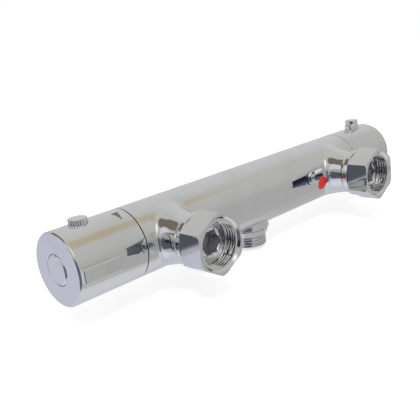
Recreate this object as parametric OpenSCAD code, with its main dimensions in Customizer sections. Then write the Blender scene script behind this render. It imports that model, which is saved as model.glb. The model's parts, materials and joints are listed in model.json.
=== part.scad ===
// Thermostatic shower valve: a chromed bar valve fed by two wall inlets.
// The bar lies along X, the inlets face the wall along +Y and the outlet hangs along -Z.
// The origin is midway between the two inlets, in the plane of the union nuts' faces.
// Temperature handle at +X, flow handle at -X, hot inlet at -X.

/* [Bar] */
// Length over both handles
overall_l = 280; // [272:2:300]
// Length of the cast body between the handles
body_l = 194; // [188:2:200]
// Outside radius of the body and of both handles
bar_r = 20; // [20:0.5:23]
// Gap between the body and each handle
seam_gap = 0.5; // [0.4:0.1:1]
// Bevel on each handle's outer edge
edge_bevel = 0.9; // [0.5:0.1:1.5]

/* [Waterways] */
// Radius of the mixed water passage along the middle
mixed_r = 8.5; // [6:0.5:9]
// Wall between a cartridge bore and the galleries around it
gallery_wall = 1.6; // [1.2:0.1:1.8]
// Radial depth of the two galleries
gallery_depth = 2.8; // [2:0.1:3]
// Half angle that each gallery spans
gallery_half_deg = 37; // [25:1:40]
// Radius of the passage behind each inlet
inlet_passage_r = 8.4; // [6:0.1:9]

/* [Inlets] */
// Distance between the two inlets
inlet_pitch = 150; // [146:1:152]
// From the bar's axis to the end of a neck
neck_reach = 36.4; // [34.4:0.5:40.4]
// Radius of a neck at its waist
neck_r = 13.9; // [13.5:0.1:14.5]
// Radius of the collar at a neck's end
neck_collar_r = 15.2; // [14.8:0.1:17]
// How far a neck sweeps out along the bar
neck_sweep_x = 5.6; // [4:0.1:7.6]
// How far a neck sweeps out above and below
neck_sweep_z = 4.4; // [2:0.1:4.6]
// Radius of the thread that holds an inlet insert
insert_thread_r = 10.4; // [10:0.1:10.6]
// Radius of the insert's flange, which traps the nut
insert_flange_r = 11.7; // [11.4:0.1:11.7]
// Thickness of the insert's flange
insert_flange_t = 2; // [1.5:0.1:2.5]
// Radius of the insert's nose
insert_nose_r = 7.9; // [7.7:0.1:8.5]
// Length of the insert's nose
insert_nose_l = 1.4; // [1:0.1:2]
// Width across flats of the key socket
socket_af = 12; // [10:0.5:12.5]
// Depth of the key socket
socket_l = 7.5; // [6:0.5:8.5]

/* [Union nuts] */
// Width across flats
nut_af = 30; // [29.5:0.5:34]
// Length of a nut
nut_l = 14.4; // [13.6:0.1:17]
// Thickness of the nut's rear lip
nut_lip_t = 2.8; // [2.4:0.1:3.2]
// Play between the lip and what traps it, on each side
nut_play = 0.6; // [0.4:0.1:0.8]
// Radius at the crests of the nut's internal thread
nut_crest_r = 12.06; // [12.06:0.02:12.3]
// Radius at the roots of the nut's internal thread
nut_root_r = 13.22; // [13:0.02:13.4]
// Turn of the cold nut's flats
cold_nut_deg = 31; // [0:1:60]
// Turn of the hot nut's flats
hot_nut_deg = 31; // [0:1:60]
// Pitch of the pipe threads
pipe_pitch = 1.814; // [1.5:0.002:2]

/* [Check valves] */
// Radius of a check valve's housing
check_r = 7.5; // [7:0.1:7.6]
// Radius of the poppet's head
poppet_r = 5.5; // [4.5:0.1:5.7]
// How far a poppet opens
poppet_lift = 3; // [1.5:0.1:3]

/* [Outlet] */
// Width across flats of the outlet's collar
outlet_af = 22; // [21.5:0.5:24]
// Thickness of the outlet's collar
outlet_collar_t = 3.4; // [2.5:0.1:5]
// Outside radius of the outlet's thread
outlet_thread_r = 10.48; // [10.3:0.02:10.6]
// Length of the outlet's thread
outlet_thread_l = 7.3; // [6.5:0.1:12]
// Radius of the outlet's waterway
outlet_bore_r = 7.2; // [5:0.1:7.6]

/* [Handles] */
// Wall of a handle's shell
handle_wall = 2.6; // [2.2:0.1:2.7]
// Thickness of a handle's closed end
handle_end_t = 11; // [10:0.5:12]
// Radius of the round cap on a handle's end
cap_r = 8.4; // [7.5:0.1:10]
// Width of the grip lug on the temperature handle
lug_w = 8; // [5:0.5:12]
// Length of the grip lug
lug_l = 23; // [15:0.5:28]
// How far the grip lug stands out
lug_proud = 3.2; // [1.5:0.1:4]

/* [Buttons] */
// Radius of each button
button_r = 5.1; // [4.5:0.1:5.5]
// From a body end to the middle of its button
button_place = 26.4; // [26:0.1:27]
// How far the override button stands out
override_proud = 2.6; // [2.2:0.1:4]
// How far the flow button stands out
flow_button_proud = 6; // [3:0.1:7]
// How far a button presses in
button_travel = 1.8; // [1:0.1:1.8]
// Ridges around the override button
button_ridges = 20; // [12:1:28]

/* [Thermostat cartridge] */
// Radius of the thermostat's bore in the body
thermo_bore_r = 13.8; // [13.8:0.1:14.2]
// Depth of the thermostat's bore
thermo_depth = 57; // [57:0.5:60]
// Thread lead of the adjuster, per turn
adjuster_lead = 1.5; // [1:0.1:1.5]
// Radius of the wax element's body
wax_r = 5.4; // [4.5:0.1:5.5]

/* [Flow cartridge] */
// Radius of the flow cartridge's bore in the body
flow_bore_r = 12.5; // [12.4:0.1:13]
// Depth of the flow cartridge's bore
flow_depth = 33; // [33:0.5:36]
// Radius of the two ceramic discs
disc_r = 9.6; // [9:0.1:10]
// Thickness of each ceramic disc
disc_t = 3.4; // [2.5:0.1:3.5]

/* [Cartridge heads] */
// Width across flats of each head
head_af = 28; // [26:0.5:28.5]
// Thickness of each head's flange
head_t = 6; // [4:0.5:7]
// Radius of each head's neck
head_neck_r = 9; // [8.8:0.1:9.4]
// Length of each head, from the body's end
head_l = 29.5; // [29.3:0.1:29.7]
// Radius of each spindle's shaft
spindle_r = 4.2; // [3.8:0.1:4.4]

/* [Hot marker] */
// Radius of the red marker
marker_r = 4.4; // [3:0.1:5]
// Place of the marker along the bar, from the middle
marker_place = 55.8; // [45:0.2:56]
// Turn of the marker below the level of the inlets
marker_deg = 11; // [5:1:20]

/* [Fits] */
// Radial gap of what turns or slides
run_fit = 0.1; // [0.06:0.01:0.1]
// Radial gap of cartridges and parts that are pushed in
seat_fit = 0.15; // [0.1:0.01:0.2]
// Gap between pieces that only pass each other
free_gap = 0.3; // [0.3:0.02:0.4]
// Gap between a seal and its groove
seal_gap = 0.03; // [0.02:0.01:0.05]

/* [Hidden] */
$fn = 64;
// Overrun of every cut past the face it opens, and of every joint between solids
over = 1;
inlet_x = inlet_pitch / 2;
body_end = body_l / 2;
handle_l = (overall_l - body_l) / 2 - seam_gap;

// Necks, from the bar's axis towards the wall
collar_t = 3.2;
collar_taper = 2.4;
sweep_top = neck_reach - collar_t - collar_taper;
sweep_rings = 7;
sweep_sides = 32;
sweep_sink = 0.6;
sweep_core = 8;
sweep_bend_share = 0.92;
sweep_lean = 1.35;

// Union nuts
lip_from = neck_reach + nut_play;
nut_to = lip_from + nut_l;
nut_lip_gap = 0.5;
nut_lip_r = insert_thread_r + nut_lip_gap;
nut_mouth_l = 1;
nut_mouth_rise = 0.9;
nut_mouth_r = nut_root_r + nut_mouth_rise;
nut_edge_rise = 0.4;
nut_edge_r = nut_af / 2 + nut_edge_rise;
chamfer_share = 0.6;
groove_share = 0.66;
groove_root_share = 0.16;
// The origin lies in the plane of the nuts' faces
bar_y = -nut_to;

// Inlet inserts
insert_thread_l = 16.6;
insert_tail = neck_reach - insert_thread_l;
flange_from = lip_from + nut_lip_t + nut_play;
flange_to = flange_from + insert_flange_t;
nose_to = flange_to + insert_nose_l;
nut_thread_from = nose_to + free_gap;
nut_thread_l = nut_to - nut_mouth_l - nut_thread_from;
socket_floor = nose_to - socket_l;
insert_bore_r = check_r + seat_fit;

// Filters
filter_t = 1.6;
filter_hole_r = 0.7;
filter_rows = 2;
filter_share = 0.8;

// Check valves
check_seat_t = 2;
check_foot_t = 1.8;
poppet_t = 1.8;
pressed_spring_l = 5.6;
check_l = check_foot_t + pressed_spring_l + poppet_lift + poppet_t + free_gap + check_seat_t;
check_to = socket_floor - filter_t;
check_from = check_to - check_l;
check_wall = 1.4;
check_bore_r = check_r - check_wall;
check_seat_rim = 1;
check_seat_r = poppet_r - check_seat_rim;
check_guide_r = 2;
check_arm_w = 1.6;
check_groove_depth = 0.8;
check_groove_r = check_r - check_groove_depth;
check_groove_w = 1.4;
check_ring_at = check_from + check_l / 2;
poppet_to = check_to - check_seat_t - free_gap;
poppet_stem_r = 1.1;
poppet_tail = 0.6;
poppet_coil_r = 3.2;
poppet_wire_r = 0.35;

// Body bores and galleries
gallery_in_r = thermo_bore_r + gallery_wall;
gallery_out_r = gallery_in_r + gallery_depth;
thermo_from = body_end - thermo_depth;
flow_from = body_end - flow_depth;
mouth_l = 10;
mouth_step = 1.4;
thermo_mouth_r = thermo_bore_r + mouth_step;
flow_mouth_r = flow_bore_r + mouth_step;
port_w = 10;
ledge_l = 9.5;
ledge_at = thermo_from + ledge_l;
hot_port_l = 7;
flow_port_gap = 8.5;
flow_port_at = flow_from + flow_port_gap;
flow_port_l = 9;

// Hot marker
marker_t = 1.1;
marker_proud = 0.3;
marker_floor = bar_r + marker_proud - marker_t;

// Outlet, from the bar's axis downwards
boss_rim = 2.2;
boss_r = outlet_af / 2 + boss_rim;
boss_proud = 0.2;
boss_to = bar_r + boss_proud;
outlet_seal_t = 0.6;
outlet_seal_rim = 1;
outlet_stub_r = outlet_thread_r - free_gap;
outlet_socket_r = outlet_stub_r + run_fit;
outlet_from = boss_to + outlet_seal_t;
outlet_collar_to = outlet_from + outlet_collar_t;
outlet_to = outlet_collar_to + outlet_thread_l;
outlet_edge_rise = 0.3;
outlet_edge_r = outlet_af / 2 + outlet_edge_rise;
outlet_lead = 0.6;
outlet_groove_depth = 1.1;

// Handles, measured outwards from the body's end
handle_from = seam_gap;
handle_to = seam_gap + handle_l;
cavity_r = bar_r - handle_wall;
cavity_to = handle_to - handle_end_t;
socket_r = 7;
hub_socket_l = 6;
insert_to = cavity_to + hub_socket_l;
recess_l = 3.2;
recess_r = cap_r + seat_fit;
screw_hole_r = 2.2;
pointer_place = 6.6;
pointer_l = 7.2;
pointer_w = 4.2;
pointer_depth = 0.3;
pointer_deg = 21;
lug_corner = 0.8;

// Handle screws and end caps
tap_r = 1.65;
screw_head_r = 3.7;
screw_head_t = 1.9;
screw_key_af = 2.5;
screw_key_l = 1.2;
screw_length = 12;
cap_skirt_t = 1.1;
cap_face_t = 1.2;
cap_proud = 0.6;
cap_edge = 0.7;

// Buttons, measured upwards from the bar's axis
button_wall = 0.7;
boss_wall = 1.7;
floor_drop = 1.5;
floor_t = 1.3;
skirt_l = 2.1;
web_rise = 1.2;
pocket_floor = cavity_r - floor_drop;
boss_floor = pocket_floor - floor_t;
button_boss_r = button_r + boss_wall;
button_skirt = bar_r - skirt_l;
button_web = bar_r + web_rise;
button_cup_r = button_r - button_wall;
pocket_r = button_r + seat_fit;
stem_r = 2.6;
tenon_r = 1.5;
pawl_to = boss_floor - free_gap;
pawl_t = 2.2;
pawl_w = 5.6;
pawl_l = 6.4;
pawl_low = pawl_to - pawl_t - button_travel;
spring_wire_r = 0.3;
button_coil_r = 3.5;
ridge_r = 0.32;
flow_button_flare = 0.5;
flare_l = 1.2;

// Stop rings, whose fingers meet a pawl unless its button is pressed
stop_web_drop = 5.9;
stop_web_from = button_place - stop_web_drop;
stop_web_t = 2;
finger_past = 2.6;
finger_to = button_place + finger_past;
finger_gap = 0.1;
finger_out_r = pawl_to - finger_gap;
finger_in_r = norm([pawl_to - button_travel, pawl_w / 2]) + free_gap;
finger_deg = 20;
pawl_play_deg = 0.8;
pawl_half_deg = atan(pawl_w / 2 / pawl_low) + pawl_play_deg;
// The temperature handle turns this far back from the override stop
temperature_turn_deg = 200;
override_turn_deg = 60;
// The flow handle turns this far to its economy stop, and to full flow
economy_turn_deg = 90;
full_turn_deg = 180;

// Cartridge heads and spindles, measured outwards from the body's end
head_ring_depth = 1.5;
ring_groove_w = 2.2;
head_ring_at = body_end - mouth_l + ring_groove_w;
head_edge_rise = 0.4;
chamber_af = 13.2;
chamber_top_l = 9.5;
chamber_to = head_l - chamber_top_l;
collar_r = 6.1;
spindle_collar_t = 1.8;
insert_gap = 1.5;
insert_from = head_l + insert_gap;
spline_lead = 0.2;
spline_from = insert_from - spline_lead;
spline_l = 6.2;
spline_to = spline_from + spline_l;
clip_gap = 0.4;
clip_t = 0.8;
clip_r = 5.6;
shaft_groove_depth = 0.8;
shaft_groove_r = spindle_r - shaft_groove_depth;
shaft_groove_drop = 6;
shaft_groove_at = head_l - shaft_groove_drop;
shaft_groove_w = 2;
tap_drop = 4.5;
tap_from = head_l - tap_drop;
guide_gap = 0.2;
guide_r = cavity_r - guide_gap;
guide_t = 4.5;

// Thermostat sleeve, along the bar
sleeve_r = thermo_bore_r - seat_fit;
sleeve_bore_r = 10.45;
sleeve_exit_gap = 0.8;
sleeve_exit_r = wax_r + sleeve_exit_gap;
sleeve_to = body_end - mouth_l;
sleeve_groove_depth = 1.5;
sleeve_groove_r = thermo_bore_r - sleeve_groove_depth;
feed_depth = 1.4;
feed_groove_r = sleeve_r - feed_depth;
feed_margin = 0.4;
cold_feed_from = inlet_x - inlet_passage_r - feed_margin;
cold_feed_to = inlet_x + inlet_passage_r + feed_margin;
sleeve_ring_places = [
  thermo_from + ring_groove_w,
  (ledge_at + hot_port_l + cold_feed_from) / 2,
  (cold_feed_to + sleeve_to) / 2 + seal_gap
];
window_r = 2;
window_margin = 1;
windows = 8;
cold_seat_drop = 5.4;
cold_seat_from = sleeve_to - cold_seat_drop;
cold_seat_t = 2.4;
cold_seat_r = 8.4;

// Shuttle, wax element and return spring
shuttle_spare = 0.45;
regulating_gap = adjuster_lead * temperature_turn_deg / 360 + shuttle_spare;
shuttle_from = ledge_at + regulating_gap;
shuttle_to = cold_seat_from - regulating_gap;
shuttle_r = sleeve_bore_r - run_fit;
shuttle_bore_r = 8.3;
shuttle_waist_r = 9.3;
shuttle_end_l = 7.2;
shuttle_groove_depth = 1.25;
shuttle_groove_r = sleeve_bore_r - shuttle_groove_depth;
web_drop = 7;
web_at = inlet_x - web_drop;
web_l = 3;
web_hole_r = 1;
web_holes = 6;
web_rim = 0.3;
shuttle_ring_at = web_at - ring_groove_w;
wax_lead = 2;
wax_from = ledge_at + wax_lead;
wax_seat = web_at + web_l;
wax_rim = 0.8;
wax_flange_r = wax_r + wax_rim;
wax_flange_t = 2.2;
wax_nose_r = 4;
wax_nose_l = 6.8;
piston_r = 1.6;
return_coil_r = 6.95;
return_wire_r = 0.55;

// Adjuster, with the overload spring inside it
cup_lip_t = 1.4;
cup_lip_at = sleeve_to - cup_lip_t;
piston_to = cup_lip_at + cup_lip_t;
cup_r = 6.4;
cup_bore_r = 5.2;
cup_lip_r = 3.2;
plunger_t = 3;
adjuster_foot = 4;
adjuster_room = 5;
adjuster_to = chamber_to - adjuster_room;
adjuster_gap = 0.15;
adjuster_af = chamber_af - 2 * adjuster_gap;
screw_thread_r = 4.5;
screw_lead = 2;
overload_coil_r = 4.2;
overload_wire_r = 0.65;

// Flow cartridge, along the bar
housing_r = flow_bore_r - seat_fit;
housing_gap = 0.2;
housing_bore_r = disc_r + housing_gap;
housing_to = body_end - mouth_l;
flow_window_l = 6;
bottom_seal_t = 2.5;
bottom_seal_r = mixed_r - head_ring_depth;
fixed_from = flow_from + bottom_seal_t;
disc_gap = 0.05;
moving_from = fixed_from + disc_t + disc_gap;
moving_to = moving_from + disc_t;
disc_port_rim = 1.8;
disc_port_r = disc_r - disc_port_rim;
disc_port_in_r = 2.2;
disc_port_deg = 42;
driver_gap = 0.2;
driver_from = moving_to + driver_gap;
driver_t = 3;
driver_rim = 0.4;
driver_r = disc_r - driver_rim;
driver_shaft_r = 5.4;
peg_r = 1.1;
peg_rim = 2.6;
peg_place = disc_r - peg_rim;

// Coils
coil_steps = 14;
coil_sides = 6;

// Frames of reference

// The bar's middle, with the model's own directions
module on_bar() {
  translate([0, bar_y, 0]) children();
}

// The bar's axis as +Z, from its middle
module along_bar() {
  on_bar() rotate([0, 90, 0]) children();
}

// The temperature end: +Z runs outwards along the bar
module temperature_end() {
  along_bar() children();
}

// The flow end, the other end's mirror image
module flow_end() {
  mirror([1, 0, 0]) along_bar() children();
}

// One inlet: +Z runs from the bar's axis to the wall; side is 1 for cold and -1 for hot
module at_inlet(side) {
  translate([side * inlet_x, bar_y, 0]) rotate([-90, 0, 0]) children();
}

// The outlet: +Z runs down from the bar's axis
module at_outlet() {
  on_bar() rotate([180, 0, 0]) children();
}

// A button's axis as +Z, from the bar's axis upwards, inside an end's frame
module at_button() {
  translate([0, 0, body_end + button_place]) rotate([0, -90, 0]) children();
}

// Shapes that repeat

// A solid cylinder between two places on its axis
module disc(r, from, to) {
  translate([0, 0, from]) cylinder(r = r, h = to - from);
}

// A ring between two places on its axis
module ring(outer, inner, from, to) {
  difference() {
    disc(outer, from, to);
    disc(inner, from - over, to + over);
  }
}

// A hexagonal bar between two places, by its width across flats
module hexagon(af, from, to) {
  translate([0, 0, from]) cylinder(r = af / sqrt(3), h = to - from, $fn = 6);
}

// A cone that trims the corners of a hexagon that ends at a place, facing +Z
module corner_trim(edge_r, corner_r, at) {
  rise = (corner_r - edge_r) * chamfer_share;
  difference() {
    disc(corner_r + over, at - rise, at + over);
    translate([0, 0, at - rise]) cylinder(r1 = corner_r, r2 = edge_r, h = rise);
    disc(edge_r, at - over, at + 2 * over);
  }
}

// Ring grooves that stand for a pipe thread, cut from the crest's radius to the root's
module thread_grooves(crest, root, from, length) {
  count = floor(length / pipe_pitch);
  half = pipe_pitch * groove_share / 2;
  foot = pipe_pitch * groove_root_share / 2;
  side = sign(crest - root) * over / 2;
  slope = half + (half - foot) * over / 2 / abs(crest - root);
  for (i = [0 : count - 1]) {
    translate([0, 0, from + (i + 0.5) * pipe_pitch])
      rotate_extrude()
        polygon([
          [crest + side, -slope],
          [root, -foot],
          [root, foot],
          [crest + side, slope]
        ]);
  }
}

// An o-ring that fills a groove between two radii
module o_ring(bore, groove, at) {
  section = (bore - groove) / 2 - seal_gap;
  translate([0, 0, at])
    rotate_extrude()
      translate([(bore + groove) / 2, 0]) circle(r = section, $fn = 24);
}

// A coil spring along +Z whose outer ends lie at two places
module coil(radius, wire_r, from, to, turns) {
  steps = turns * coil_steps;
  rise = to - from - 2 * wire_r;
  lean = atan(rise / turns / (2 * PI * radius));
  last = steps * coil_sides;
  points = [
    for (i = [0 : steps], j = [0 : coil_sides - 1])
      let (
        turn = i * 360 / coil_steps,
        side = j * 360 / coil_sides,
        reach = radius + wire_r * cos(side),
        slip = wire_r * sin(side) * sin(lean)
      )
      [
        reach * cos(turn) + slip * sin(turn),
        reach * sin(turn) - slip * cos(turn),
        from + wire_r + rise * i / steps + wire_r * sin(side) * cos(lean)
      ]
  ];
  skin = [
    for (i = [0 : steps - 1], j = [0 : coil_sides - 1])
      let (a = i * coil_sides + j, b = i * coil_sides + (j + 1) % coil_sides)
        each [[a, b + coil_sides, b], [a, a + coil_sides, b + coil_sides]]
  ];
  ends = [
    for (j = [1 : coil_sides - 2])
      each [[0, j, j + 1], [last, last + j + 1, last + j]]
  ];
  polyhedron(points, concat(skin, ends));
}

// Body

// Half axes of a neck's sweep, at a share of the way from its waist to the bar
function sweep_flare(share) = 1 - sqrt(1 - pow(sweep_bend_share * share, 2));
function sweep_x(share) = neck_r + neck_sweep_x * sweep_flare(share) / sweep_flare(1);
function sweep_z(share) = neck_r + neck_sweep_z * pow(share, sweep_lean);

// How far out the sweep meets the bar, at a distance above or below its axis
function sweep_foot(z) = sqrt(pow(bar_r, 2) - pow(z, 2)) - sweep_sink;

// The swept root of a neck, from its waist down into the bar, along +Z of an inlet's frame
module neck_sweep() {
  points = [
    for (i = [0 : sweep_rings], j = [0 : sweep_sides - 1])
      let (
        share = i / sweep_rings,
        turn = j * 360 / sweep_sides,
        foot = sweep_foot(sweep_z(1) * sin(turn))
      )
      [
        sweep_x(share) * cos(turn),
        sweep_z(share) * sin(turn),
        sweep_top + (foot - sweep_top) * share
      ]
  ];
  base = sweep_rings * sweep_sides;
  waist = (sweep_rings + 1) * sweep_sides;
  skin = [
    for (i = [0 : sweep_rings - 1], j = [0 : sweep_sides - 1])
      let (a = i * sweep_sides + j, b = i * sweep_sides + (j + 1) % sweep_sides)
        each [[a, b, b + sweep_sides], [a, b + sweep_sides, a + sweep_sides]]
  ];
  top_cap = [for (j = [0 : sweep_sides - 1]) [waist, (j + 1) % sweep_sides, j]];
  foot_cap = [
    for (j = [0 : sweep_sides - 1])
      [waist + 1, base + j, base + (j + 1) % sweep_sides]
  ];
  polyhedron(
    concat(points, [[0, 0, sweep_top], [0, 0, sweep_core]]),
    concat(skin, top_cap, foot_cap)
  );
}

// One neck outside its sweep, with the collar behind the nut
module neck() {
  neck_sweep();
  disc(neck_r, sweep_core, neck_reach);
  translate([0, 0, sweep_top])
    cylinder(r1 = neck_r, r2 = neck_collar_r, h = collar_taper);
  disc(neck_collar_r, neck_reach - collar_t, neck_reach);
}

// A gallery beside the bores, along +Z and centred on +Y
module gallery(from, to) {
  far = 2 * bar_r;
  intersection() {
    ring(gallery_out_r, gallery_in_r, from, to);
    translate([0, 0, from - over])
      linear_extrude(height = to - from + 2 * over)
        polygon([
          [0, 0],
          [-far * sin(gallery_half_deg), far * cos(gallery_half_deg)],
          [far * sin(gallery_half_deg), far * cos(gallery_half_deg)]
        ]);
  }
}

// A slot from a bore out to a gallery, on the +Y side
module port(bore, from, length) {
  translate([-port_w / 2, bore - over, from])
    cube([port_w, gallery_in_r - bore + 2 * over, length]);
}

// The hot marker's axis as +Z, from the bar's axis outwards
module at_marker() {
  translate([-marker_place, bar_y, 0]) rotate([-90 - marker_deg, 0, 0]) children();
}

module valve_body() {
  color("lightgray")
    difference() {
      union() {
        along_bar() disc(bar_r, -body_end, body_end);
        for (side = [-1, 1]) at_inlet(side) neck();
        at_outlet() disc(boss_r, mixed_r, boss_to);
      }
      body_bores();
      body_galleries();
      for (side = [-1, 1]) at_inlet(side) inlet_bore(side);
      at_outlet() disc(outlet_socket_r, gallery_in_r, boss_to + over);
      at_marker() disc(marker_r + seat_fit, marker_floor, sweep_top);
    }
}

// The bores that run along the bar
module body_bores() {
  along_bar() {
    disc(thermo_bore_r, thermo_from, body_end + over);
    disc(thermo_mouth_r, body_end - mouth_l, body_end + over);
    disc(mixed_r, -flow_from - over, thermo_from + over);
  }
  flow_end() {
    disc(flow_bore_r, flow_from, body_end + over);
    disc(flow_mouth_r, body_end - mouth_l, body_end + over);
  }
}

// Hot water's gallery at the wall side, and the outlet's gallery underneath
module body_galleries() {
  along_bar() {
    gallery(-inlet_x - inlet_passage_r, ledge_at + hot_port_l);
    port(thermo_bore_r, ledge_at, hot_port_l);
  }
  flow_end()
    rotate([0, 0, -90]) {
      gallery(-outlet_thread_r, flow_port_at + flow_port_l);
      port(flow_bore_r, flow_port_at, flow_port_l);
    }
}

// An inlet's thread bore and the passage behind it
module inlet_bore(side) {
  passage_to = side > 0 ? thermo_bore_r - over : gallery_in_r + over;
  disc(insert_thread_r + run_fit, insert_tail - free_gap, neck_reach + over);
  disc(inlet_passage_r, passage_to, neck_reach);
}

module hot_marker() {
  color("red") at_marker() disc(marker_r, marker_floor, bar_r + marker_proud);
}

// Inlets

// The screwed tail that traps a union nut on its neck
module inlet_insert(side) {
  at_inlet(side)
    difference() {
      union() {
        disc(insert_thread_r, insert_tail, flange_from + over);
        disc(insert_flange_r, flange_from, flange_to);
        disc(insert_nose_r, flange_to - over, nose_to);
      }
      disc(insert_bore_r, insert_tail - over, socket_floor);
      hexagon(socket_af, socket_floor - over, nose_to + over);
    }
}

module cold_inlet_insert() {
  color("silver") inlet_insert(1);
}

module hot_inlet_insert() {
  color("silver") inlet_insert(-1);
}

// A loose hexagonal nut with an internal pipe thread
module union_nut(side, turn) {
  corner_r = nut_af / sqrt(3);
  at_inlet(side)
    difference() {
      rotate([0, 0, -turn])
        difference() {
          hexagon(nut_af, lip_from, nut_to);
          corner_trim(nut_edge_r, corner_r, nut_to);
          translate([0, 0, lip_from])
            mirror([0, 0, 1]) corner_trim(nut_edge_r, corner_r, 0);
        }
      disc(nut_lip_r, lip_from - over, nut_to);
      disc(nut_root_r, lip_from + nut_lip_t, nut_thread_from);
      disc(nut_crest_r, lip_from + nut_lip_t, nut_to + over);
      thread_grooves(nut_crest_r, nut_root_r, nut_thread_from, nut_thread_l);
      translate([0, 0, nut_to - nut_mouth_l])
        cylinder(r1 = nut_root_r, r2 = nut_mouth_r, h = nut_mouth_l + seal_gap);
    }
}

module cold_union_nut() {
  color("silver") union_nut(1, cold_nut_deg);
}

module hot_union_nut() {
  color("silver") union_nut(-1, hot_nut_deg);
}

// A perforated disc ahead of a check valve
module filter_disc(side) {
  step = check_r * filter_share / filter_rows;
  at_inlet(side)
    difference() {
      disc(check_r, check_to, check_to + filter_t - seal_gap);
      disc(filter_hole_r, check_to - over, check_to + filter_t + over);
      for (row = [1 : filter_rows], i = [0 : 6 * row - 1])
        rotate([0, 0, i * 60 / row])
          translate([step * row, 0, 0])
            disc(filter_hole_r, check_to - over, check_to + filter_t + over);
    }
}

module cold_filter() {
  color("gainsboro") filter_disc(1);
}

module hot_filter() {
  color("gainsboro") filter_disc(-1);
}

module check_housing(side) {
  at_inlet(side) {
    difference() {
      disc(check_r, check_from, check_to);
      disc(check_bore_r, check_from - over, check_to - check_seat_t);
      disc(check_seat_r, check_from, check_to + over);
      ring(check_r + over, check_groove_r, check_ring_at - check_groove_w / 2,
        check_ring_at + check_groove_w / 2);
    }
    difference() {
      union() {
        disc(check_guide_r, check_from, check_from + check_foot_t);
        for (i = [0 : 2])
          rotate([0, 0, i * 120])
            translate([0, -check_arm_w / 2, check_from])
              cube([check_bore_r + seat_fit, check_arm_w, check_foot_t]);
      }
      disc(poppet_stem_r + run_fit, check_from - over, check_from + check_foot_t + over);
    }
  }
}

module cold_check_housing() {
  color("white") check_housing(1);
}

module hot_check_housing() {
  color("white") check_housing(-1);
}

module cold_check_ring() {
  color("black") at_inlet(1) o_ring(insert_bore_r, check_groove_r, check_ring_at);
}

module hot_check_ring() {
  color("black") at_inlet(-1) o_ring(insert_bore_r, check_groove_r, check_ring_at);
}

module poppet(side) {
  at_inlet(side) {
    disc(poppet_r, poppet_to - poppet_t, poppet_to);
    disc(poppet_stem_r, check_from - poppet_tail, poppet_to - poppet_t / 2);
  }
}

module cold_poppet() {
  color("dimgray") poppet(1);
}

module hot_poppet() {
  color("dimgray") poppet(-1);
}

module poppet_spring(side) {
  at_inlet(side)
    coil(poppet_coil_r, poppet_wire_r, check_from + check_foot_t + seal_gap,
      poppet_to - poppet_t - seal_gap, 4);
}

module cold_poppet_spring() {
  color("gray") poppet_spring(1);
}

module hot_poppet_spring() {
  color("gray") poppet_spring(-1);
}

// Outlet

module outlet_nipple() {
  corner_r = outlet_af / sqrt(3);
  color("silver")
    at_outlet()
      difference() {
        union() {
          disc(outlet_stub_r, gallery_in_r + free_gap, outlet_from + over);
          difference() {
            hexagon(outlet_af, outlet_from, outlet_collar_to);
            corner_trim(outlet_edge_r, corner_r, outlet_collar_to);
          }
          disc(outlet_thread_r, outlet_collar_to - over, outlet_to - outlet_lead);
          translate([0, 0, outlet_to - outlet_lead])
            cylinder(r1 = outlet_thread_r, r2 = outlet_thread_r - outlet_lead, h = outlet_lead);
        }
        disc(outlet_bore_r, gallery_in_r - over, outlet_to + over);
        thread_grooves(outlet_thread_r, outlet_thread_r - outlet_groove_depth, outlet_collar_to,
          outlet_thread_l - outlet_lead);
      }
}

module outlet_seal() {
  color("black")
    at_outlet() ring(outlet_af / 2 + outlet_seal_rim, outlet_socket_r, boss_to, outlet_from);
}

// Thermostat cartridge

// Radial windows through the sleeve's wall
module window_ring(at) {
  for (i = [0 : windows - 1])
    rotate([0, 0, (i + 0.5) * 360 / windows])
      translate([0, 0, at])
        rotate([0, 90, 0]) disc(window_r, sleeve_exit_r, sleeve_r + over);
}

module thermostat_sleeve() {
  color("khaki")
    temperature_end()
      difference() {
        disc(sleeve_r, thermo_from, sleeve_to);
        disc(sleeve_exit_r, thermo_from - over, ledge_at + over);
        disc(sleeve_bore_r, ledge_at, sleeve_to + over);
        ring(sleeve_r + over, feed_groove_r, ledge_at, ledge_at + hot_port_l);
        ring(sleeve_r + over, feed_groove_r, cold_feed_from, cold_feed_to);
        for (at = sleeve_ring_places)
          ring(sleeve_r + over, sleeve_groove_r, at - ring_groove_w / 2, at + ring_groove_w / 2);
        window_ring(ledge_at + window_r + window_margin);
        window_ring(shuttle_to - window_r - window_margin);
      }
}

module sleeve_rings() {
  color("black")
    temperature_end()
      for (at = sleeve_ring_places) o_ring(thermo_bore_r, sleeve_groove_r, at);
}

module cold_seat() {
  color("goldenrod")
    temperature_end()
      ring(sleeve_bore_r - seal_gap, cold_seat_r, cold_seat_from, cold_seat_from + cold_seat_t);
}

module shuttle() {
  color("gold")
    temperature_end()
      difference() {
        union() {
          disc(shuttle_waist_r, shuttle_from, shuttle_to);
          disc(shuttle_r, shuttle_from + shuttle_end_l, shuttle_to - shuttle_end_l);
        }
        disc(shuttle_bore_r, shuttle_from - over, web_at);
        disc(shuttle_bore_r, web_at + web_l, shuttle_to + over);
        disc(wax_r + free_gap, web_at - over, web_at + web_l + over);
        for (i = [0 : web_holes - 1])
          rotate([0, 0, i * 360 / web_holes])
            translate([shuttle_bore_r - web_rim - web_hole_r, 0, 0])
              disc(web_hole_r, web_at - over, web_at + web_l + over);
        ring(shuttle_r + over, shuttle_groove_r, shuttle_ring_at - ring_groove_w / 2,
          shuttle_ring_at + ring_groove_w / 2);
      }
}

module shuttle_ring() {
  color("black") temperature_end() o_ring(sleeve_bore_r, shuttle_groove_r, shuttle_ring_at);
}

module wax_element() {
  color("darkgoldenrod")
    temperature_end() {
      disc(wax_r, wax_from, wax_seat + over);
      disc(wax_flange_r, wax_seat, wax_seat + wax_flange_t);
      disc(wax_nose_r, wax_seat + wax_flange_t - over, wax_seat + wax_flange_t + wax_nose_l);
      disc(piston_r, wax_seat + wax_flange_t, piston_to);
    }
}

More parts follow.
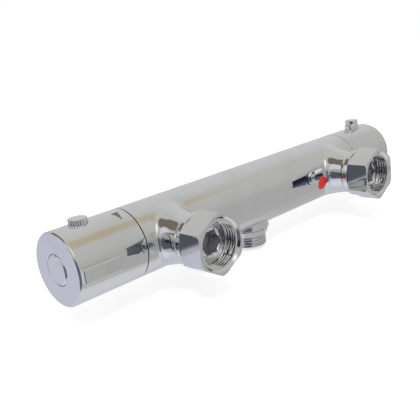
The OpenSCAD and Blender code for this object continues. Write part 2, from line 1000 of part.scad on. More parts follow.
module return_spring() {
  color("gray")
    temperature_end()
      coil(return_coil_r, return_wire_r, ledge_at + seal_gap, web_at - seal_gap, 6);
}

module overload_plunger() {
  color("silver")
    temperature_end() disc(cup_bore_r - run_fit, piston_to, piston_to + plunger_t);
}

module overload_spring() {
  color("gray")
    temperature_end()
      coil(overload_coil_r, overload_wire_r, piston_to + plunger_t + seal_gap,
        body_end + adjuster_foot - seal_gap, 4);
}

module adjuster() {
  color("gold")
    temperature_end()
      difference() {
        union() {
          disc(cup_r, cup_lip_at, body_end + adjuster_foot + over);
          hexagon(adjuster_af, body_end + adjuster_foot, body_end + adjuster_to);
        }
        disc(cup_lip_r, cup_lip_at - over, piston_to + over);
        disc(cup_bore_r, piston_to, body_end + adjuster_foot);
        disc(screw_thread_r + run_fit, body_end, body_end + adjuster_to + over);
      }
}

// Cartridge heads, alike at both ends of the bar

// The outside of a head: thread, flange and neck, with the bore of its shaft
module head_blank(mouth_r) {
  thread_r = mouth_r - run_fit;
  difference() {
    union() {
      disc(thread_r, body_end - mouth_l, body_end);
      difference() {
        hexagon(head_af, body_end, body_end + head_t);
        corner_trim(head_af / 2 + head_edge_rise, head_af / sqrt(3), body_end + head_t);
      }
      disc(head_neck_r, body_end - over, body_end + head_l);
    }
    disc(spindle_r + run_fit, body_end - mouth_l, body_end + head_l + over);
    ring(thread_r + over, mouth_r - head_ring_depth, head_ring_at - ring_groove_w / 2,
      head_ring_at + ring_groove_w / 2);
  }
}

// The seal in a head's groove
module head_seal(mouth_r) {
  o_ring(mouth_r, mouth_r - head_ring_depth, head_ring_at);
}

module thermostat_bonnet() {
  color("khaki")
    temperature_end()
      difference() {
        head_blank(thermo_mouth_r);
        hexagon(chamber_af, body_end - mouth_l - over, body_end + chamber_to);
      }
}

module thermostat_bonnet_ring() {
  color("black") temperature_end() head_seal(thermo_mouth_r);
}

// A spindle's shaft from its collar out to its spline, bored and tapped for the handle screw
module spindle_shaft() {
  difference() {
    union() {
      disc(collar_r, body_end + chamber_to - spindle_collar_t - seal_gap,
        body_end + chamber_to - seal_gap);
      disc(spindle_r, body_end + chamber_to - over, body_end + spline_from);
      translate([0, 0, body_end + spline_from - over])
        cylinder(r = spindle_r - seal_gap, h = spline_to - spline_from + over, $fn = 12);
    }
    disc(tap_r, body_end + tap_from, body_end + spline_to + over);
    ring(spindle_r + over, shaft_groove_r, body_end + head_l + clip_gap,
      body_end + head_l + clip_gap + clip_t);
    ring(spindle_r + over, shaft_groove_r, body_end + shaft_groove_at - shaft_groove_w / 2,
      body_end + shaft_groove_at + shaft_groove_w / 2);
  }
}

module thermostat_spindle() {
  color("silver")
    temperature_end() {
      spindle_shaft();
      disc(screw_thread_r, body_end + adjuster_foot + screw_lead, body_end + chamber_to - over);
    }
}

module spindle_seal() {
  o_ring(spindle_r + run_fit, shaft_groove_r, body_end + shaft_groove_at);
}

module thermostat_spindle_ring() {
  color("black") temperature_end() spindle_seal();
}

// A split ring in the groove of a spindle
module circlip() {
  from = body_end + head_l + clip_gap + seal_gap;
  difference() {
    ring(clip_r, shaft_groove_r + seal_gap, from, from + clip_t - 2 * seal_gap);
    translate([0, -shaft_groove_r / 2, from - over])
      cube([2 * clip_r, shaft_groove_r, clip_t + 2 * over]);
  }
}

module thermostat_circlip() {
  color("gray") temperature_end() circlip();
}

// A wedge of a bar end's space that starts at an angle from its top
module wedge(start_deg, sweep_deg, from, to) {
  steps = 4;
  translate([0, 0, from])
    linear_extrude(height = to - from)
      polygon(concat([[0, 0]], [
        for (i = [0 : steps])
          let (turn = start_deg + sweep_deg * i / steps)
            [-2 * bar_r * cos(turn), -2 * bar_r * sin(turn)]
      ]));
}

// A stop ring on a head's neck, with a thin finger that a pressed pawl passes and a full block
module stop_ring(finger_start, block_start, block_sweep) {
  from = body_end + stop_web_from;
  to = body_end + finger_to;
  ring(finger_out_r, head_neck_r + seal_gap, from, from + stop_web_t);
  intersection() {
    ring(finger_out_r, finger_in_r, from, to);
    wedge(finger_start, finger_deg, from - over, to + over);
  }
  intersection() {
    ring(finger_out_r, head_neck_r + seal_gap, from, to);
    wedge(block_start, block_sweep, from - over, to + over);
  }
}

module temperature_stop_ring() {
  block_start = pawl_half_deg + override_turn_deg;
  color("white")
    temperature_end()
      stop_ring(pawl_half_deg, block_start,
        360 - temperature_turn_deg - pawl_half_deg - block_start);
}

// A plastic ring around a head's flange that steadies the handle
module guide_ring() {
  difference() {
    disc(guide_r, body_end, body_end + guide_t);
    hexagon(head_af + 2 * seal_gap, body_end - over, body_end + guide_t + over);
  }
}

module temperature_guide_ring() {
  color("white") temperature_end() guide_ring();
}

// Handles

// A handle without what only one of them has
module handle_blank() {
  difference() {
    union() {
      disc(bar_r, body_end + handle_from, body_end + handle_to - edge_bevel);
      translate([0, 0, body_end + handle_to - edge_bevel])
        cylinder(r1 = bar_r, r2 = bar_r - edge_bevel, h = edge_bevel);
      children();
    }
    handle_bores();
  }
  button_boss();
}

// The cavity, the insert's socket, the screw's hole and the cap's recess
module handle_bores() {
  disc(cavity_r, body_end, body_end + cavity_to);
  disc(socket_r, body_end + cavity_to - over, body_end + insert_to);
  disc(screw_hole_r, body_end + insert_to - over, body_end + handle_to);
  disc(recess_r, body_end + handle_to - recess_l, body_end + handle_to + over);
  at_button() disc(pocket_r, pocket_floor, bar_r + over);
}

// The boss under the shell's roof that guides a button's stem
module button_boss() {
  at_button()
    difference() {
      disc(button_boss_r, boss_floor, sqrt(pow(cavity_r, 2) - pow(button_boss_r, 2)) + 2 * over);
      disc(pocket_r, pocket_floor, bar_r + over);
      disc(stem_r + run_fit, boss_floor - over, pocket_floor + over);
    }
}

// The raised grip lug at the wall side of the temperature handle
module grip_lug() {
  foot = bar_r - handle_wall / 2;
  top = bar_r + lug_proud;
  half = lug_w / 2;
  translate([0, 0, body_end + handle_to - edge_bevel - lug_l])
    linear_extrude(height = lug_l)
      polygon([
        [-half, foot],
        [-half, top - lug_corner],
        [-half + lug_corner, top],
        [half - lug_corner, top],
        [half, top - lug_corner],
        [half, foot]
      ]);
}

// The engraved pointer near the seam, whose tip points round the handle to the wall
module pointer_mark() {
  difference() {
    rotate([0, 0, -pointer_deg])
      translate([0, 0, body_end + pointer_place])
        rotate([0, -90, 0])
          linear_extrude(height = bar_r + over)
            polygon([
              [-pointer_w / 2, -pointer_l / 2],
              [pointer_w / 2, -pointer_l / 2],
              [0, pointer_l / 2]
            ]);
    disc(bar_r - pointer_depth, body_end + handle_from, body_end + handle_to);
  }
}

module temperature_handle() {
  color("lightgray")
    temperature_end()
      difference() {
        handle_blank() grip_lug();
        pointer_mark();
      }
}

// The splined insert that a handle turns its spindle with
module spline_insert() {
  difference() {
    disc(socket_r - seal_gap, body_end + insert_from, body_end + insert_to);
    translate([0, 0, body_end + insert_from - over])
      cylinder(r = spindle_r + seal_gap, h = insert_to - insert_from + 2 * over, $fn = 12);
  }
}

module temperature_insert() {
  color("white") temperature_end() spline_insert();
}

// The screw that holds a handle on its spindle
module handle_screw() {
  head_from = body_end + handle_to - recess_l;
  difference() {
    union() {
      disc(screw_head_r, head_from, head_from + screw_head_t);
      disc(tap_r - seal_gap, head_from - screw_length, head_from + over);
    }
    hexagon(screw_key_af, head_from + screw_head_t - screw_key_l, head_from + screw_head_t + over);
  }
}

module temperature_screw() {
  color("silver") temperature_end() handle_screw();
}

// The round cap over a handle's screw
module end_cap() {
  face = body_end + handle_to + cap_proud;
  ring(cap_r, cap_r - cap_skirt_t, body_end + handle_to - recess_l, face - cap_face_t);
  disc(cap_r, face - cap_face_t, face - cap_edge);
  translate([0, 0, face - cap_edge])
    cylinder(r1 = cap_r, r2 = cap_r - 2 * cap_edge, h = cap_edge);
}

module temperature_cap() {
  color("lightgray") temperature_end() end_cap();
}

// Buttons

// A hollow button on its stem, with a tenon for the pawl
module button(proud) {
  at_button() {
    difference() {
      disc(button_r, button_skirt, bar_r + proud);
      disc(button_cup_r, button_skirt - over, button_web);
    }
    disc(stem_r, pawl_to, button_web + button_wall);
    disc(tenon_r, pawl_to - pawl_t, pawl_to + over);
  }
}

// Ridges cut around a button above the shell
module button_ridge_cuts(proud) {
  at_button()
    for (i = [0 : button_ridges - 1])
      rotate([0, 0, i * 360 / button_ridges])
        translate([button_r, 0, 0])
          disc(ridge_r, bar_r - over, bar_r + proud + over);
}

module override_button() {
  color("silver")
    temperature_end()
      difference() {
        button(override_proud);
        button_ridge_cuts(override_proud);
      }
}

module button_spring() {
  at_button()
    coil(button_coil_r, spring_wire_r, pocket_floor + seal_gap, button_web - seal_gap, 4);
}

module override_spring() {
  color("gray") temperature_end() button_spring();
}

// The block at the end of a button's stem that meets the stop ring's finger
module pawl() {
  at_button()
    difference() {
      translate([-pawl_l / 2, -pawl_w / 2, pawl_to - pawl_t])
        cube([pawl_l, pawl_w, pawl_t]);
      disc(tenon_r + seal_gap, pawl_to - pawl_t - over, pawl_to + over);
    }
}

module override_pawl() {
  color("gray") temperature_end() pawl();
}

// Flow cartridge

module flow_housing() {
  color("khaki")
    flow_end()
      difference() {
        disc(housing_r, fixed_from, housing_to);
        disc(housing_bore_r, flow_from, housing_to + over);
        for (turn = [0, 90])
          rotate([0, 0, turn])
            translate([-port_w / 2, -housing_r - over, flow_port_at + window_margin])
              cube([port_w, 2 * (housing_r + over), flow_window_l]);
      }
}

module flow_bottom_seal() {
  color("black")
    flow_end() ring(housing_r, bottom_seal_r, flow_from, fixed_from);
}

// A ceramic disc with two waterways, which may be notched for the driver's pegs
module ceramic_disc(from, to, notched) {
  difference() {
    disc(disc_r, from, to);
    intersection() {
      ring(disc_port_r, disc_port_in_r, from - over, to + over);
      for (turn = [0, 180])
        rotate([0, 0, turn])
          translate([0, 0, from - over])
            linear_extrude(height = to - from + 2 * over)
              polygon([
                [0, 0],
                [2 * disc_r * cos(disc_port_deg), -2 * disc_r * sin(disc_port_deg)],
                [2 * disc_r * cos(disc_port_deg), 2 * disc_r * sin(disc_port_deg)]
              ]);
    }
    if (notched)
      for (side = [-1, 1])
        translate([0, side * peg_place, 0])
          disc(peg_r + run_fit, to - disc_t / 2, to + over);
  }
}

module fixed_disc() {
  color("white") flow_end() ceramic_disc(fixed_from, fixed_from + disc_t, false);
}

module turning_disc() {
  color("white") flow_end() rotate([0, 0, 90]) ceramic_disc(moving_from, moving_to, true);
}

module flow_bonnet() {
  color("khaki")
    flow_end()
      difference() {
        head_blank(flow_mouth_r);
        disc(collar_r + run_fit, body_end - mouth_l - over, body_end + chamber_to);
      }
}

module flow_bonnet_ring() {
  color("black") flow_end() head_seal(flow_mouth_r);
}

// The spindle with the driver that turns the upper disc by two pegs
module flow_spindle() {
  color("silver")
    flow_end() {
      spindle_shaft();
      disc(driver_shaft_r, driver_from, body_end + chamber_to - over);
      disc(driver_r, driver_from, driver_from + driver_t);
      for (side = [-1, 1])
        translate([side * peg_place, 0, 0])
          disc(peg_r, moving_to - disc_t / 3, driver_from + over);
    }
}

module flow_spindle_ring() {
  color("black") flow_end() spindle_seal();
}

module flow_circlip() {
  color("gray") flow_end() circlip();
}

module flow_stop_ring() {
  color("white")
    flow_end()
      stop_ring(-economy_turn_deg - pawl_half_deg - finger_deg, pawl_half_deg,
        360 - full_turn_deg - 2 * pawl_half_deg);
}

module flow_guide_ring() {
  color("white") flow_end() guide_ring();
}

module flow_handle() {
  color("lightgray") flow_end() handle_blank();
}

module flow_insert() {
  color("white") flow_end() spline_insert();
}

module flow_screw() {
  color("silver") flow_end() handle_screw();
}

module flow_cap() {
  color("lightgray") flow_end() end_cap();
}

// The taller button, with a small flare where it leaves the shell
module flow_button() {
  color("silver")
    flow_end() {
      difference() {
        button(flow_button_proud);
        at_button()
          ring(button_r + over, button_r - flow_button_flare, bar_r + button_travel + flare_l,
            bar_r + flow_button_proud + over);
      }
    }
}

module flow_button_spring() {
  color("gray") flow_end() button_spring();
}

module flow_pawl() {
  color("gray") flow_end() pawl();
}

valve_body();
hot_marker();
cold_inlet_insert();
hot_inlet_insert();
cold_union_nut();
hot_union_nut();
cold_filter();
hot_filter();
cold_check_housing();
hot_check_housing();
cold_check_ring();
hot_check_ring();
cold_poppet();
hot_poppet();
cold_poppet_spring();
hot_poppet_spring();
outlet_nipple();
outlet_seal();
thermostat_sleeve();
sleeve_rings();
cold_seat();
shuttle();
shuttle_ring();
wax_element();
return_spring();
overload_plunger();
overload_spring();
adjuster();
thermostat_bonnet();
thermostat_bonnet_ring();
thermostat_spindle();
thermostat_spindle_ring();
thermostat_circlip();
temperature_stop_ring();
temperature_guide_ring();
temperature_handle();
temperature_insert();
temperature_screw();
temperature_cap();
override_button();
override_spring();
override_pawl();
flow_housing();
flow_bottom_seal();
fixed_disc();
turning_disc();
flow_bonnet();
flow_bonnet_ring();
flow_spindle();
flow_spindle_ring();
flow_circlip();
flow_stop_ring();
flow_guide_ring();
flow_handle();
flow_insert();
flow_screw();
flow_cap();
flow_button();
flow_button_spring();
flow_pawl();
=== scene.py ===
"""Looks of a thermostatic shower valve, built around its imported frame."""

import json
import logging
import math
from dataclasses import dataclass, field
from enum import Enum
from typing import Any, Callable, ClassVar, Iterable, NamedTuple, Optional, Sequence, Union

import bmesh
import bpy
import numpy as np
from mathutils import Matrix, Vector


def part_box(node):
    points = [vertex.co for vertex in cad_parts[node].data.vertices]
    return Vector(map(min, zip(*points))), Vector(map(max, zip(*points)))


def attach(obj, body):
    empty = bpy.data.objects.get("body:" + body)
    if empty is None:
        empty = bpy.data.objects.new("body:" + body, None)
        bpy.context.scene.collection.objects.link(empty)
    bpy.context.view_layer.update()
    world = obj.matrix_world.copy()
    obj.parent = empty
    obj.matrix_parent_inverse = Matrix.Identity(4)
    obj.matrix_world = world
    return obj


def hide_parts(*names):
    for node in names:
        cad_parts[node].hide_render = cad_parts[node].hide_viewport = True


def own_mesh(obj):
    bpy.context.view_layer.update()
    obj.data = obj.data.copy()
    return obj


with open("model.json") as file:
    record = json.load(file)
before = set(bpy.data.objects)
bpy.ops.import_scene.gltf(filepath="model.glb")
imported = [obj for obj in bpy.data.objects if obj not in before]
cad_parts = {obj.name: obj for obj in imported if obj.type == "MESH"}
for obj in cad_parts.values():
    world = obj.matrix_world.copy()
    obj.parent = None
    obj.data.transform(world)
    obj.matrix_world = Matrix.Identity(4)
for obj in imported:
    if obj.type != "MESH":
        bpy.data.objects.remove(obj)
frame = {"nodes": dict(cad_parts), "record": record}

LOG = logging.getLogger("valve")
MM = 0.001
FULL_TURN = 2 * math.pi
UP = Vector((0, 0, 1))

Piece = bpy.types.Object
Pair = tuple[float, float]
Triple = tuple[float, float, float]
Colour = tuple[float, float, float, float]
Wobble = Callable[[np.ndarray, np.ndarray, np.ndarray], np.ndarray]
Inputs = dict[Union[str, int], Any]


@dataclass(frozen=True)
class Axis:
    """A local frame: a point on an axis, and three directions at right angles."""

    origin: Vector
    side: Vector
    up: Vector
    along: Vector

    @staticmethod
    def toward(origin: Vector, along: Vector, up: Vector) -> "Axis":
        """Makes a right-handed frame, from its axis and its local up, which is square to the axis."""
        return Axis(origin, up.cross(along), up, along)

    def place(self, points: np.ndarray) -> np.ndarray:
        """Turns rows of local coordinates (side, up, along) into points of the row frame."""
        basis = np.array([self.side, self.up, self.along], float)
        return points @ basis + np.array(self.origin, float)


class Path:
    """Flat outlines, as lists of points."""

    MIN_EDGE = 2.2
    STEPS = 4

    @staticmethod
    def rounded(points: Sequence[Pair], reach: float, closed: bool = False) -> list[Pair]:
        """Rounds the corners of an outline.

        Args:
            points: The outline with sharp corners.
            reach: How far along its edges each corner is rounded, where they are long enough.
            closed: Whether the last point joins the first.

        Returns:
            The outline with a short curve at each corner.
        """
        count = len(points)
        made: list[Pair] = []
        for i, point in enumerate(points):
            if not closed and i in (0, count - 1):
                made.append(point)
                continue
            corner = np.array(point)
            edges = [np.array(points[i - 1]) - corner, np.array(points[(i + 1) % count]) - corner]
            room = min(reach, *(np.linalg.norm(edge) / Path.MIN_EDGE for edge in edges))
            start, end = (corner + edge / np.linalg.norm(edge) * room for edge in edges)
            for t in np.arange(Path.STEPS + 1) / Path.STEPS:
                spot = start * (1 - t) ** 2 + 2 * corner * t * (1 - t) + end * t**2
                made.append((float(spot[0]), float(spot[1])))
        return made

    @staticmethod
    def hexagon(across_flats: float, turn: float) -> list[Pair]:
        """Gives a hexagon's corners.

        Args:
            across_flats: The width across its flats.
            turn: The angle of its first corner, in radians.

        Returns:
            The six corners.
        """
        reach = across_flats / math.sqrt(3)
        turns = [turn + k * FULL_TURN / 6 for k in range(6)]
        return [(reach * math.cos(angle), reach * math.sin(angle)) for angle in turns]

    @staticmethod
    def domed(radius: float, top: float, dome: float, steps: int = 10) -> list[Pair]:
        """Gives a shallow dome's outline, from its rim, which lies lower, in to its middle at the top."""
        shares = [1 - i / steps for i in range(steps + 1)]
        return [(radius * share, top - dome * share**2) for share in shares]


class Mesher:
    """Makes meshes, and joins, cuts and smooths them."""

    WELD = 0.002 * MM
    SHARP = math.radians(32)
    KEPT_WEIGHT = 50

    @staticmethod
    def grid(
        rows: int, columns: int, first: int = 0, ring: bool = False, loop: bool = False
    ) -> list[tuple[int, ...]]:
        """Gives the faces between the points of a grid.

        Args:
            rows: The number of rows.
            columns: The number of points in a row.
            first: The number of the grid's first point.
            ring: Whether each row closes on itself.
            loop: Whether the last row joins the first.

        Returns:
            The faces, as point numbers.
        """
        return [
            tuple(
                first + row % rows * columns + column % columns
                for row, column in ((i, j), (i, j + 1), (i + 1, j + 1), (i + 1, j))
            )
            for i in range(rows if loop else rows - 1)
            for j in range(columns if ring else columns - 1)
        ]

    @staticmethod
    def solid(name: str, points: np.ndarray, faces: Iterable[Sequence[int]]) -> Piece:
        """Makes a piece from points and faces, welded and with its faces outward.

        Args:
            name: The piece's name.
            points: The points in the row frame.
            faces: The faces, as lists of point numbers.

        Returns:
            The piece.
        """
        mesh = bpy.data.meshes.new(name)
        mesh.from_pydata(np.asarray(points, float).tolist(), [], [list(face) for face in faces])
        shape = bmesh.new()
        shape.from_mesh(mesh)
        bmesh.ops.remove_doubles(shape, verts=shape.verts, dist=Mesher.WELD)
        bmesh.ops.dissolve_degenerate(shape, edges=shape.edges, dist=Mesher.WELD / 4)
        bmesh.ops.recalc_face_normals(shape, faces=shape.faces)
        shape.to_mesh(mesh)
        shape.free()
        return Mesher.show(name, mesh)

    @staticmethod
    def show(name: str, data: bpy.types.ID) -> Piece:
        """Puts a mesh, lamp or camera into the scene.

        Args:
            name: The object's name.
            data: The mesh, lamp or camera.

        Returns:
            The object.
        """
        made = bpy.data.objects.new(name, data)
        bpy.context.scene.collection.objects.link(made)
        return made

    @staticmethod
    def lathe(
        name: str, profile: Sequence[Pair], axis: Axis, segments: int = 128, wobble: Optional[Wobble] = None
    ) -> Piece:
        """Turns a profile about an axis.

        Args:
            name: The piece's name.
            profile: Pairs of a radius and a place along the axis. It closes on itself, or on the
                axis where its first and last radius are zero.
            axis: The axis to turn about.
            segments: The number of steps around.
            wobble: Changes the radius by the radius, the place along and the angle.

        Returns:
            The turned piece.
        """
        radius, along = (np.array(column, float)[:, None] for column in zip(*profile))
        turn = np.arange(segments)[None, :] * FULL_TURN / segments
        spread = radius + 0 * turn
        if wobble:
            spread = np.where(radius > 0, wobble(spread, along + 0 * turn, turn + 0 * along), 0)
        points = np.stack([spread * np.cos(turn), spread * np.sin(turn), along + 0 * turn], axis=-1)
        on_axis = profile[0][0] == 0 and profile[-1][0] == 0
        faces = Mesher.grid(len(profile), segments, ring=True, loop=not on_axis)
        return Mesher.solid(name, axis.place(points.reshape(-1, 3)), faces)

    @staticmethod
    def rod(
        name: str, radius: float, span: Pair, axis: Axis, segments: int = 96, rounding: float = 0.0
    ) -> Piece:
        """Makes a plain round rod.

        Args:
            name: The rod's name.
            radius: Its radius.
            span: Where it starts and ends along the axis.
            axis: Its axis.
            segments: The number of steps around.
            rounding: How far its edges are rounded.

        Returns:
            The rod.
        """
        start, end = span
        profile = [(0.0, start), (radius, start), (radius, end), (0.0, end)]
        return Mesher.lathe(name, Path.rounded(profile, rounding) if rounding else profile, axis, segments)

    @staticmethod
    def prism(name: str, outline: Sequence[Pair], start: float, end: float, axis: Axis) -> Piece:
        """Makes a straight prism.

        Args:
            name: The piece's name.
            outline: The outline, as pairs of side and up.
            start: Where it starts along the axis.
            end: Where it ends along the axis.
            axis: The axis that it lies along.

        Returns:
            The prism.
        """
        count = len(outline)
        points = [(s, u, at) for at in (start, end) for s, u in outline]
        ends = [tuple(range(count)), tuple(range(count, 2 * count))]
        return Mesher.solid(name, axis.place(np.array(points)), Mesher.grid(2, count, ring=True) + ends)

    @staticmethod
    def hexagonal(
        name: str, across_flats: float, turn: float, axis: Axis, trim: Sequence[Pair], rounding: float
    ) -> Piece:
        """Makes a hexagonal prism whose corners are trimmed on a lathe.

        Args:
            name: The piece's name.
            across_flats: Its width across the flats.
            turn: The angle of its first corner, in radians.
            axis: Its axis.
            trim: The turned outline that it is kept within, which starts and ends with it.
            rounding: The width of its rounded edges.

        Returns:
            The prism.
        """
        head = Mesher.prism(name, Path.hexagon(across_flats, turn), trim[0][1], trim[-1][1], axis)
        Mesher.combine(head, [Mesher.lathe("trim", trim, axis)], "INTERSECT")
        Mesher.bevel(head, rounding)
        return head

    @staticmethod
    def settle(piece: Piece) -> None:
        """Applies a piece's modifiers to its mesh.

        Args:
            piece: The piece.
        """
        view = bpy.context.evaluated_depsgraph_get()
        mesh = bpy.data.meshes.new_from_object(piece.evaluated_get(view))
        piece.modifiers.clear()
        old, piece.data = piece.data, mesh
        name = old.name
        bpy.data.meshes.remove(old)
        mesh.name = name

    @staticmethod
    def bevel(piece: Piece, width: float, segments: int = 3) -> None:
        """Rounds a piece's sharp edges.

        Args:
            piece: The piece.
            width: The width of the rounding.
            segments: The number of faces across it.
        """
        tool = piece.modifiers.new("round", "BEVEL")
        tool.width, tool.segments = width, segments
        tool.limit_method, tool.angle_limit = "ANGLE", Mesher.SHARP
        Mesher.settle(piece)

    @staticmethod
    def use_up(piece: Piece) -> None:
        """Removes a piece and its mesh.

        Args:
            piece: The piece.
        """
        mesh = piece.data
        bpy.data.objects.remove(piece)
        bpy.data.meshes.remove(mesh)

    @staticmethod
    def combine(piece: Piece, others: Sequence[Piece], operation: str) -> None:
        """Cuts other solids from a piece, joins them to it, or keeps what they share.

        Args:
            piece: The piece that stays.
            others: The solids that are used up.
            operation: DIFFERENCE, UNION or INTERSECT.
        """
        for other in others:
            tool = piece.modifiers.new("shape", "BOOLEAN")
            tool.operation, tool.solver, tool.object = operation, "EXACT", other
            Mesher.settle(piece)
            Mesher.use_up(other)

    @staticmethod
    def gather(piece: Piece, other: Piece) -> None:
        """Adds another piece's mesh to a piece, and uses that piece up.

        Args:
            piece: The piece that stays.
            other: The piece that is used up.
        """
        shape = bmesh.new()
        shape.from_mesh(piece.data)
        shape.from_mesh(other.data)
        shape.to_mesh(piece.data)
        shape.free()
        Mesher.use_up(other)

    @staticmethod
    def smooth(piece: Piece) -> None:
        """Shades a piece smooth between its sharp edges, with its flat faces kept flat.

        Args:
            piece: The piece.
        """
        mesh = piece.data
        mesh.polygons.foreach_set("use_smooth", [True] * len(mesh.polygons))
        mesh.set_sharp_from_angle(angle=Mesher.SHARP)
        tool = piece.modifiers.new("even shading", "WEIGHTED_NORMAL")
        tool.mode, tool.keep_sharp, tool.weight = "FACE_AREA", True, Mesher.KEPT_WEIGHT


class Thread:
    """The ridges of a pipe thread, as a change of radius."""

    PITCH = 1.814 * MM
    ROWS_TO_PITCH = 10
    CREST = 0.22
    SLOPE = 0.56
    FADE = 0.35
    SAME = 1e-7

    @staticmethod
    def rows(start: float, end: float) -> list[float]:
        """Gives the places along a thread, from start to end, that its mesh needs."""
        count = max(2, round(abs(end - start) / Thread.PITCH * Thread.ROWS_TO_PITCH))
        return [start + (end - start) * i / count for i in range(count + 1)]

    @staticmethod
    def ridges(start: float, end: float, crest: float, root: float) -> Wobble:
        """Makes the change of radius of one thread.

        Args:
            start: Where the thread starts along the axis.
            end: Where it ends.
            crest: The radius at its crests, and of the profile's rows that carry it.
            root: The radius at its roots.

        Returns:
            A function that gives the radius of each point.
        """

        def wobble(radius: np.ndarray, along: np.ndarray, turn: np.ndarray) -> np.ndarray:
            """Gives the radius with the thread's ridges.

            Args:
                radius: The plain radius.
                along: The places along the axis.
                turn: The angles about it.

            Returns:
                The radius at each point.
            """
            phase = (along - start) / Thread.PITCH - turn / FULL_TURN
            wave = np.abs((phase % 1.0) * 2 - 1)
            inside = np.minimum(along - start, end - along) / (Thread.PITCH * Thread.FADE)
            ridge = np.clip((wave - Thread.CREST) / Thread.SLOPE, 0, 1) * np.clip(inside, 0, 1)
            on_thread = (np.abs(radius - crest) < Thread.SAME) & (inside >= 0)
            return np.where(on_thread, crest + (root - crest) * ridge, radius)

        return wobble


class Wiring:
    """Adds nodes to a node tree, and wires them."""

    def __init__(self, tree: bpy.types.NodeTree) -> None:
        """Takes the tree."""
        self.tree = tree

    def join(self, node: bpy.types.Node, inputs: Inputs) -> None:
        """Gives a node its inputs.

        Args:
            node: The node.
            inputs: A socket to link to, or a plain value, for each input's name or number.
        """
        for key, given in inputs.items():
            if isinstance(given, bpy.types.NodeSocket):
                self.tree.links.new(given, node.inputs[key])
            else:
                node.inputs[key].default_value = given

    def add(self, kind: str, inputs: Inputs, **settings: Any) -> bpy.types.NodeOutputs:
        """Adds a node.

        Args:
            kind: The node's type, without ShaderNode.
            inputs: What its inputs get, as for join.
            settings: The node's own settings, by their names.

        Returns:
            The node's outputs.
        """
        node = self.tree.nodes.new(f"ShaderNode{kind}")
        for name, value in settings.items():
            setattr(node, name, value)
        self.join(node, inputs)
        return node.outputs

    @staticmethod
    def of(owner: bpy.types.ID) -> "Wiring":
        """Gives the wiring of a material or a world, with its nodes switched on."""
        owner.use_nodes = True
        return Wiring(owner.node_tree)


class Grain(Enum):
    """How the fine relief of a surface lies: its stretch along the row frame's axes."""

    POLISHED = (1.0, 1.0, 1.0)
    TURNED = (14.0, 1.0, 1.0)
    DRAWN = (1.0, 10.0, 1.0)
    MOULDED = (1.3, 1.3, 1.3)


